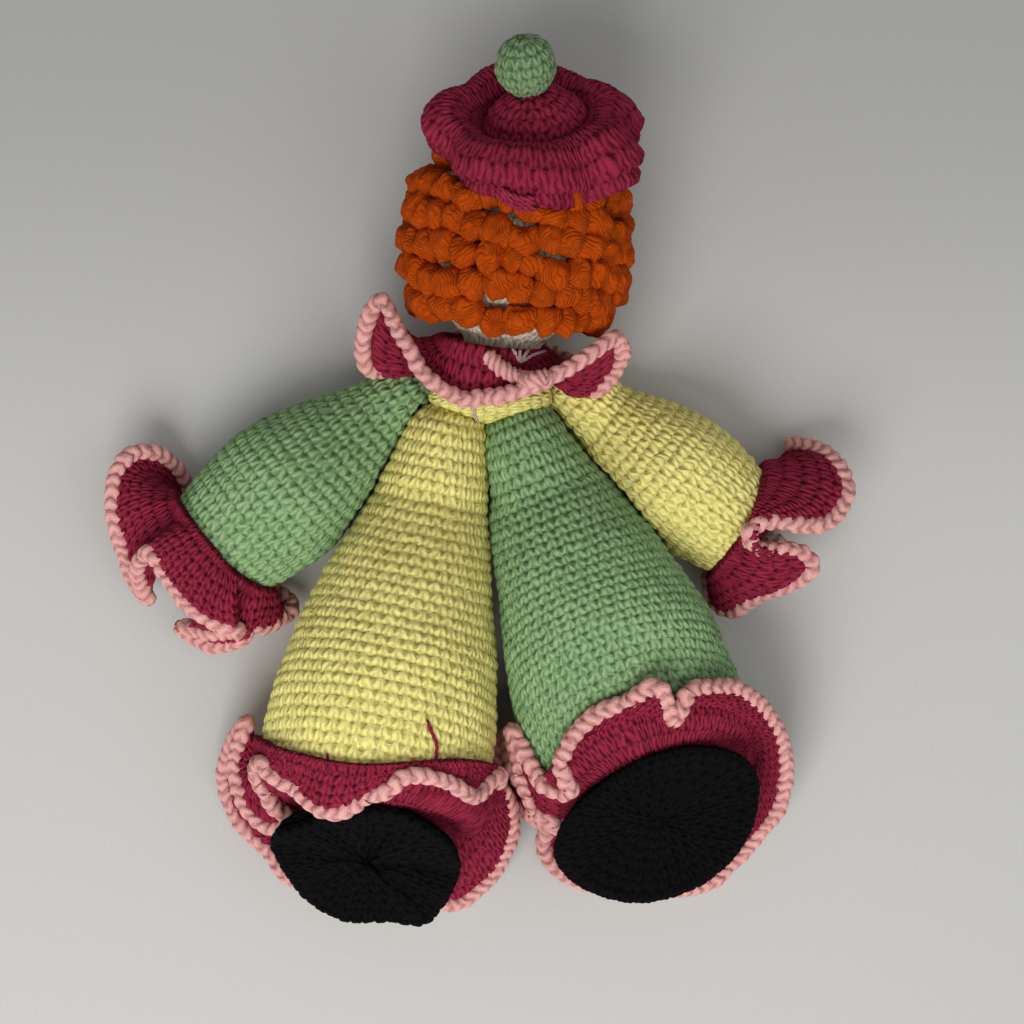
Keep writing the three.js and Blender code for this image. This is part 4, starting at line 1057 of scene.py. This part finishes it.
# Tangles bend the strands and lumps raise the lobes: by how much, over what size in mm, and a seed.
TANGLES = [(3.2, 5.5, 5.0), (1.2, 2.4, 6.0)]
LUMPS = [(1.3, 4.0, 7.0), (0.55, 1.9, 8.0)]


def hair_rope(i):
    """One rope of plump, soft lobes, each a tangle of loops with its strands slanting its own way."""
    station = HAIR_LOWEST + i * HAIR_PITCH
    slope_down = HAIR_SLANT[0] + (HAIR_SLANT[1] - HAIR_SLANT[0]) * i / (HAIR_ROPES - 1)

    def centre_at(angle):
        wave = 1.2 * np.sin(3.1 * angle + 2.3 * i) + 0.9 * np.sin(7.3 * angle + 4.1 * i)
        at = station + slope_down * HEAD_RADIUS * np.cos(angle) + wave
        off = HAIR_RADIUS * 0.85 + 0.3
        slope = head_radius_at(at + 0.5) - head_radius_at(at - 0.5)
        length = np.hypot(1, slope)
        return around_seam(head_place, angle, head_radius_at(at) + off / length, at - slope * off / length)

    line = centre_at(np.linspace(*HAIR_ARC, 900))
    along = lengths_along(line)
    rows = int(along[-1] / HAIR_STEP)
    where = np.linspace(0, along[-1], rows)
    centre = points_at(line, along, where)
    tangent = unit(np.gradient(centre, axis=0))
    away = centre - HEAD_CENTRE
    outward = unit(away - tangent * (away * tangent).sum(1, keepdims=True))
    across = np.cross(tangent, outward)
    starts = [-LOBE * float(scatter(i, 3.0))]
    while starts[-1] < along[-1]:
        starts.append(starts[-1] + LOBE * (0.7 + 0.6 * float(scatter(len(starts), i, 2.0))))
    starts = np.array(starts)
    lobe = np.clip(np.searchsorted(starts, where, side="right") - 1, 0, len(starts) - 2)
    t = np.clip((where - starts[lobe]) / (starts[lobe + 1] - starts[lobe]), 0, 1)
    swell = np.sin(np.pi * t)
    size = 0.95 + 0.25 * scatter(lobe, i, 5.0)
    body = (0.72 + 0.46 * swell ** 0.6) * size
    lift = LOBE_LIFT * (scatter(lobe, i, 7.0) - 0.35) * swell
    sway = LOBE_SWAY * (scatter(lobe, i, 9.0) - 0.5) * swell
    centre = centre + outward * lift[:, None] + across * sway[:, None]
    phi = 2 * np.pi * np.arange(HAIR_SIDES) / HAIR_SIDES
    ends = np.clip(np.minimum(np.arange(rows), rows - 1 - np.arange(rows)) / 8.0, 0.05, 1) ** 0.5
    radius = (HAIR_RADIUS * body * ends)[:, None] + 0 * phi[None, :]
    points = (centre[:, None] + outward[:, None] * (radius * np.cos(phi))[..., None]
              + across[:, None] * (radius * HAIR_WIDTH * np.sin(phi))[..., None])
    # The strands of a lobe run round it aslant, bent by the tangle, and cross those of the next lobe.
    slant = np.where(scatter(lobe, i, 11.0) > 0.5, 1.0, -1.0) * (0.5 + 0.9 * scatter(lobe, i, 13.0))
    side_way = HAIR_WIDTH * HAIR_RADIUS * np.sin(phi)[None, :]
    tangle = sum(much * lattice_noise(points, size, seed) for much, size, seed in TANGLES)
    strands = (where[:, None] + slant[:, None] * side_way + tangle) / STRAND + 0.37 * lobe[:, None]
    loops = np.abs(np.sin(np.pi * strands)) ** 0.8
    lumps = sum(much * lattice_noise(points, size, seed) for much, size, seed in LUMPS)
    raised = (LOOP_RELIEF * (loops - 0.5) + lumps) * np.minimum(ends, 1)[:, None]
    points = points + unit(points - centre[:, None]) * raised[..., None]
    w = np.concatenate([strands, strands[:, :1]], axis=1)
    y = np.linspace(0, 6, HAIR_SIDES + 1)[None, :] + 0.35 * t[:, None]
    uv = corners_uv((w[:-1, :-1], y[:-1, :-1]), (w[:-1, 1:], y[:-1, 1:]), (w[1:, 1:], y[1:, 1:]),
                    (w[1:, :-1], y[1:, :-1]))
    piece = grid_object(f"hair_rope_{i + 1}_loops", on_table(points), uv, False, "orange_cord")
    finish_piece(piece, "head_unit", [f"hair_rope_{i + 1}"])


for i in range(HAIR_ROPES):
    hair_rope(i)

# %% [markdown]
# ## Hat
#
# The crown is a stuffed dome worked from its top down. Two layers of ruffle are sewn round it, so that
# it looks like petals, and a small stuffed ball sits on top.

# %% Hat
HAT_AXIS = unit(np.array([-0.17, 0.77, 0.61]))
HAT_CENTRE = (19.5, 86.0, 54.8)
CROWN_RADIUS = 21.0
CROWN_HEIGHT = 27.0
BRIM_RADIUS, BRIM_HEIGHT = 23.2, 12.0
BRIM_TUCK = 1.6
BRIM_FOLDS = [
    (0, 19, 15), (0, 11, 6), (0, 17, 6), (0, 20, 7), (0, 19, 4), (0, 19, -1), (0, 13, -6), (0, 20, -3),
    (0, 19, -5), (0, 9, -4), (0, 16, -2), (0, 11, 2), (0, 7, 2), (0, 6, 8), (0, 5, 14), (0, 6, 16),
    (0, 7, 19), (0, 6, 19), (0, 6, 18), (0, 15, 20),
]
hat_place = seam_frame(HAT_CENTRE, HAT_AXIS)
CROWN_PROFILE = [(0.05, 0.985), (0.2, 0.98), (0.42, 0.94), (0.68, 0.82), (0.86, 0.65), (0.97, 0.46),
                 (1, 0.28), (1, 0.1), (0.97, -0.1), (0.86, -0.2)]
crown_rings = [ring(hat_place, CROWN_RADIUS * share, CROWN_RADIUS * share, 168, CROWN_HEIGHT * height)
               for share, height in CROWN_PROFILE]
stuffed("hat_crown", "head_unit", np.array(crown_rings), "crimson", relief=0.95)

brim_edge = folded_edge(hat_place, BRIM_RADIUS, BRIM_FOLDS)
for name, layer, far in (("upper", -2.25, 0.86), ("lower", 2.25, 0.97)):
    ruffle(f"hat_brim_{name}", "head_unit", hat_place, [(0, BRIM_RADIUS - BRIM_TUCK, BRIM_HEIGHT)], brim_edge,
           bulge=9, layer=layer, far=far)

# %% Pompom
POMPOM_RADIUS = 11.0
# The last round of a ball closes at 87 degrees. Its seat sinks in to where the round is 0.4 of its width.
BALL_END = 87
SEAT = 0.9135


def ball(place, radius, share, cols):
    """Rings of a stuffed ball, longer or shorter along its axis by a share."""
    around = [(radius * math.cos(a), radius * share * math.sin(a))
              for a in np.radians(np.linspace(-BALL_END, BALL_END, 13))]
    return np.array([ring(place, width, width, cols, forward) for width, forward in around])


pompom_reach = 0.965 * CROWN_HEIGHT + POMPOM_RADIUS * SEAT + 0.3
pompom_place = seam_frame(np.array(HAT_CENTRE) + HAT_AXIS * pompom_reach, HAT_AXIS)
stuffed("hat_pompom", "head_unit", ball(pompom_place, POMPOM_RADIUS - 0.3, 1.0, 100), "mint", relief=1.0,
        stitch=4.0)

# %% [markdown]
# ## Nose and face
#
# The face lies on the table, and the photograph doesn't show it. It gets what such dolls have: a small
# round nose worked in finer stitches, two embroidered eyes and a stitched smile.

# %% Nose and face
NOSE_RADIUS = 5.6
NOSE_STATION = 3.0
HEAD_COARSE = [35.5, 33, 28, 20, 10, 0, -10, -20, -28, -33]
head_form = tree_of(np.array([ring(head_place, head_radius_at(s), head_radius_at(s), 40, s)
                              for s in HEAD_COARSE]))
nose_centre = around_seam(head_place, -math.pi / 2, float(head_radius_at(NOSE_STATION)) + 0.3, NOSE_STATION)
nose_centre[2] = NOSE_RADIUS - FLAT_DEPTH
stuffed("nose", "head_unit", ball(seam_frame(nose_centre, HEAD_AXIS), NOSE_RADIUS - 0.4, 1.0, 60), "crimson",
        relief=0.6, stitch=3.4, press=clear_of(head_form, 0.5))


def stitched_line(name, stations, turns, radius, material):
    """An embroidered line on the face, through points given by station and turn from its middle."""
    share = np.linspace(0, 1, 60)
    station = np.interp(share, np.linspace(0, 1, len(stations)), stations)
    turn = np.interp(share, np.linspace(0, 1, len(turns)), turns)
    line = around_seam(head_place, -np.pi / 2 + np.radians(turn), head_radius_at(station) + 0.9, station)
    piece = cord_mesh(name, line, radius, material, stitch=3.0, depth=0.15, sides=10)
    return finish_piece(piece, "head_unit", [])


EYE_STATION, EYE_TURN = 13, 21
SMILE_STATION = -3
for side, sign in (("left", 1), ("right", -1)):
    arc = np.radians(np.linspace(0, 180, 9))
    stitched_line(f"{side}_eye_stitches", EYE_STATION + 3.0 * np.sin(arc), sign * EYE_TURN + 7 * np.cos(arc),
                  0.9, "black_cord")
arc = np.radians(np.linspace(200, 340, 11))
stitched_line("smile_stitches", SMILE_STATION + 12 * np.sin(arc), 24 * np.cos(arc), 1.0, "crimson_cord")

# %% [markdown]
# ## Hands
#
# A hand is a small pale knob inside each cuff, a ball drawn out along the arm.

# %% Hands
HAND_RADIUS = 8.5
HAND_REACH = 23.0
HEM_BULGE = 6.2
for side in ("left", "right"):
    centre, _, _, normal = hems[side + "_arm"]
    place = seam_frame(centre + normal * (HEM_BULGE + 0.3 + SEAT * HAND_REACH / 2), normal)
    rings = ball(place, HAND_RADIUS - 0.2, HAND_REACH / 2 / HAND_RADIUS, 84)
    stuffed(f"{side}_hand", f"{side}_arm_unit", rings, "white", relief=0.8, stitch=4.2)

# %% [markdown]
# ## Shoes
#
# A shoe is a cup that widens from the ankle to the rim of a flat sole, which is dished, and both are
# worked in black. The left shoe was pressed out of shape: its outline has corners and its lower edge is
# folded in. The outlines are given as a share of the oval.

# %% Shoe rounds
SHOES = {
    "left": dict(reach=24.8, shift=4.0, lean=50.0, size=0.94, crumple=1.0, outline=[
        (-174, 0.92), (-155, 0.86), (-122, 0.99), (-105, 1.0), (-80, 0.87), (-60, 0.9), (-48, 1.03),
        (-8, 0.9), (25, 1.02), (44, 1.1), (60, 1.08), (85, 1.0), (111, 0.9), (138, 0.84), (170, 1.04)]),
    "right": dict(reach=19.0, shift=-4.0, lean=60.0, size=1.0, crumple=0.0, outline=[
        (-178, 1.04), (-160, 1.01), (-139, 0.98), (-110, 1.01), (-79, 0.97), (-45, 0.94), (-7, 0.98),
        (10, 1.07), (28, 1.09), (52, 1.0), (83, 0.91), (109, 0.86), (130, 0.89), (162, 1.03)]),
}


def outline_at(pairs, angle):
    """Share of the oval's radius at an angle, smooth all the way round."""
    at, share = np.array(pairs, float).T
    at = np.concatenate([at - 360, at, at + 360])
    share = np.tile(share, 3)
    degrees = np.degrees(angle)
    return sum(np.interp(degrees + step, at, share) for step in SPREAD) / len(SPREAD)


def shoe_ring(place, length, width, shape, cols, forward=0.0, blend=1.0, crumple=0.0, fold=0.0):
    """One round of a shoe: an oval that takes on the sole's outline and creases by the given shares."""
    centre, side, lift, normal = place
    angle = 2 * np.pi * np.arange(cols) / cols
    angle = np.where(angle > np.pi, angle - 2 * np.pi, angle)
    share = 1 + (outline_at(shape, angle) - 1) * blend
    u, v = share * np.cos(angle), share * np.sin(angle)
    creases = 1.6 * np.sin(5.1 * u + 1.2) * np.sin(4.3 * v + 0.6) + 1.1 * np.sin(9.0 * v + 3.0 * u)
    tuck = 5.0 * np.exp(-((u - 0.1) / 0.34) ** 2) * np.clip(-v - 0.35, 0, 1)
    out = forward + crumple * (creases * min(1.0, blend + 0.3) + fold * tuck)
    return centre + side * (length * u)[:, None] + lift * (width * v)[:, None] + normal * out[:, None]


# %% Shoes
SOLE_HALF_LENGTH = 38.0
SOLE_HALF_WIDTH = 35.0
ANKLE_RADIUS = 18.0
# Share of the way from ankle to sole, and of the widening.
UPPER_PROFILE = [(0, 0), (0.1, 0.12), (0.2, 0.24), (0.3, 0.36), (0.45, 0.54), (0.6, 0.7), (0.74, 0.84),
                 (0.85, 0.92), (0.93, 0.96), (0.985, 0.97)]
# Share of the sole's size, and height over its middle: inner face, rim and outer face.
SOLE_PROFILE = [(0.06, -1.9), (0.5, -1.2), (0.8, 0.1), (0.96, 0.7), (1.01, 1.6), (1.03, 2.8), (1.01, 3.9),
                (0.96, 4.4), (0.9, 4.2), (0.8, 3.4), (0.65, 2.4), (0.5, 1.7), (0.3, 1.1), (0.15, 0.9),
                (0.04, 0.8)]
UPPER_POINTS, SOLE_POINTS = 300, 330
for side, shoe in SHOES.items():
    centre, hem_side, _, hem_normal = hems[side + "_leg"]
    direction = np.array(LEGS[side]["direction"] + (0.0,))
    lean = math.radians(shoe["lean"])
    sole_normal = direction * math.cos(lean) + np.array([0, 0, math.sin(lean)])
    length, width = SOLE_HALF_LENGTH * shoe["size"], SOLE_HALF_WIDTH * shoe["size"]
    sole_centre = centre + hem_normal * shoe["reach"] + hem_side * shoe["shift"]
    ankle = centre + hem_normal * (HEM_BULGE + 0.6)
    outline, crumple, body = shoe["outline"], shoe["crumple"], f"{side}_leg_unit"
    place = seam_frame(ankle, hem_normal)
    rings = [shoe_ring(place, ANKLE_RADIUS * s, ANKLE_RADIUS * s, outline, UPPER_POINTS, blend=0.0)
             for s in (0.1, 0.7)]
    for share, swell in UPPER_PROFILE:
        place = seam_frame(ankle + (sole_centre - ankle) * share,
                           hem_normal + (sole_normal - hem_normal) * share)
        long, wide = (ANKLE_RADIUS + (size - ANKLE_RADIUS) * swell for size in (length, width))
        rings.append(shoe_ring(place, long, wide, outline, UPPER_POINTS, 0.0, share, crumple * share, share))
    for share in (0.88, 0.5, 0.1):
        rings.append(shoe_ring(place, length * share, width * share, outline, UPPER_POINTS,
                               -0.6 - 3.0 * (1 - share), 1.0, crumple, 1.0))
    stuffed(f"{side}_shoe_upper", body, np.array(rings), "black", relief=0.9)

    place = seam_frame(sole_centre + sole_normal * 0.3, sole_normal)
    rings = [shoe_ring(place, length * share, width * share, outline, SOLE_POINTS, height, 1.0, crumple, 1.0)
             for share, height in SOLE_PROFILE]
    stuffed(f"{side}_shoe_sole", body, np.array(rings), "black", relief=0.7)

# %% [markdown]
# ## Strip of ruffle on the front
#
# A narrow ruffle with a pink edge runs down the front of the right leg. It shows only through the gap
# between the legs.

# %% Front ruffle
STRIP_START, STRIP_LENGTH, STRIP_WIDTH, STRIP_HEIGHT = 24.0, 52.0, 9.0, 2.6
STRIP_INSET = 5.0
STRIP_WAVES = 3.5
STRIP_HALF = 1.1
_, _, strip_frame, strip_radius = limb_rings(LEGS["right"], 12)
stations = np.linspace(STRIP_START, STRIP_START + STRIP_LENGTH, 84)
across = np.linspace(0, 1, 13)[:, None]
up = np.array([0, 0, 1.0])
sections, cord_line = [], []
for station in stations:
    centre, side_way, _, _ = strip_frame(station)
    wave = math.sin(2 * math.pi * STRIP_WAVES * (station - STRIP_START) / STRIP_LENGTH)
    outer = centre - side_way * (strip_radius(station) - STRIP_INSET - wave)
    outer[2] = STRIP_HEIGHT
    line = outer + side_way * STRIP_WIDTH * across
    raised = strand_height((station - STRIP_START) / STITCH, across * 2)
    sections.append(np.concatenate([line + up * (STRIP_HALF + 0.7 * raised), line[::-1] - up * STRIP_HALF]))
    cord_line.append(outer - side_way * 2.4)
v = np.concatenate([np.linspace(0, 2, 13), np.linspace(2, 0, 13)])[None]
s = ((stations - STRIP_START) / STITCH)[:, None]
v_next = np.roll(v, -1)
uv = corners_uv((s[:-1], v), (s[:-1], v_next), (s[1:], v_next), (s[1:], v))
strip = grid_object("front_ruffle_crochet", np.array(sections), uv, False, "crimson")
finish_piece(strip, "right_leg_unit", ["front_ruffle"])
cord = cord_mesh("front_ruffle_edging_crochet", np.array(cord_line), EDGING_RADIUS, "pink_cord")
finish_piece(cord, "right_leg_unit", ["front_ruffle_edging"])

# %% [markdown]
# ## Yarn tails
#
# A maker hides most yarn ends, but a few show: two crimson ends on the left leg, a loop below the hat, the
# end of the collar's pink cord, pale frayed ends beside it and a pale strand on the yoke. Each lies on
# what carries it, where the camera sees it: its places are pixels of the photograph.

# %% What the camera sees
PIXELS = 1024
EYE = Vector((MIDDLE_MM[0], MIDDLE_MM[1], EYE_DISTANCE_MM + OUTLINE_HEIGHT_MM))


def surface_of(names):
    """Search trees of finished pieces, in mm."""
    trees = []
    for name in names:
        mesh = bpy.data.objects[name].data
        points = [tuple(1000 * c for c in vertex.co) for vertex in mesh.vertices]
        trees.append(BVHTree.FromPolygons(points, [tuple(face.vertices) for face in mesh.polygons]))
    return trees


def seen_at(trees, x, y):
    """The point of the pieces that the camera sees at a place in its picture, and the direction away."""
    scale = PICTURE_MM / PIXELS
    aim = Vector((MIDDLE_MM[0] + (x - PIXELS / 2) * scale, MIDDLE_MM[1] - (y - PIXELS / 2) * scale,
                  OUTLINE_HEIGHT_MM))
    best = None
    for tree in trees:
        spot, normal, _, distance = tree.ray_cast(EYE, (aim - EYE).normalized())
        if spot is not None and (best is None or distance < best[2]):
            best = (spot, normal, distance)
    return best


# %% Tail maker
def tail(name, body, colour, on, places, radius):
    """A short end of yarn that lies on finished pieces."""
    trees = surface_of(on)
    places = np.array(places, float)
    share, given = np.linspace(0, 1, 40), np.linspace(0, 1, len(places))
    spots = []
    for x, y in zip(np.interp(share, given, places[:, 0]), np.interp(share, given, places[:, 1])):
        found = seen_at(trees, x, y)
        if found is not None:
            spots.append(np.array(found[0]) + np.array([0, 0, radius * 0.9]))
    line = np.array(spots)
    for _ in range(6):
        line[1:-1] = (line[:-2] + 2 * line[1:-1] + line[2:]) / 4
    piece = cord_mesh(name, line, radius, f"{colour}_cord", stitch=2.6, depth=0.14, strands=3, sides=10)
    return finish_piece(piece, body, [])


# %% Where the tails lie
LEFT_HEM_END = [(427, 719), (431, 730), (437, 744), (436, 764)]
LEFT_HEM_SMALL_END = [(327, 753), (328, 759), (328, 766)]
YOKE_STRAND = [(471, 402), (474, 412), (478, 424)]
COLLAR_CORD_END = [(487, 353), (497, 366), (514, 377), (532, 381), (549, 377)]
HAT_LOOP = [(497, 184), (506, 193), (520, 199), (536, 198)]
HAT_LOOP_SHIFTS = [(0, 0), (-1, 4), (-2, 8), (2, 11)]
FRAY_ROOT = (520, 363)
FRAY_ENDS = [(509, 345), (520, 341), (535, 344), (546, 351)]
COLLAR = ["collar_ruffle_crochet", "collar_edging_crochet"]
HAT_BACK = [f"hair_rope_{k}_loops" for k in (3, 4, 5, 6)] + ["hat_brim_lower_crochet"]

tail("left_hem_yarn_end", "left_leg_unit", "crimson", ["left_leg_crochet"], LEFT_HEM_END, 0.65)
tail("left_hem_small_end", "left_leg_unit", "crimson", ["left_leg_crochet"], LEFT_HEM_SMALL_END, 0.6)
tail("yoke_pale_strand", "torso", "pale", ["yoke_crochet"], YOKE_STRAND, 0.7)
tail("collar_cord_end", "torso", "pink", COLLAR, COLLAR_CORD_END, 2.9)
for i, (right, down) in enumerate(HAT_LOOP_SHIFTS):
    tail(f"hat_yarn_loop_{i + 1}", "head_unit", "crimson", HAT_BACK,
         [(x + right, y + down) for x, y in HAT_LOOP], 1.0)
for i, (x, y) in enumerate(FRAY_ENDS):
    bend = ((FRAY_ROOT[0] + x) / 2, (FRAY_ROOT[1] + y) / 2 - 2)
    tail(f"collar_frayed_end_{i + 1}", "torso", "pale", COLLAR, [FRAY_ROOT, bend, (x, y)], 0.55)
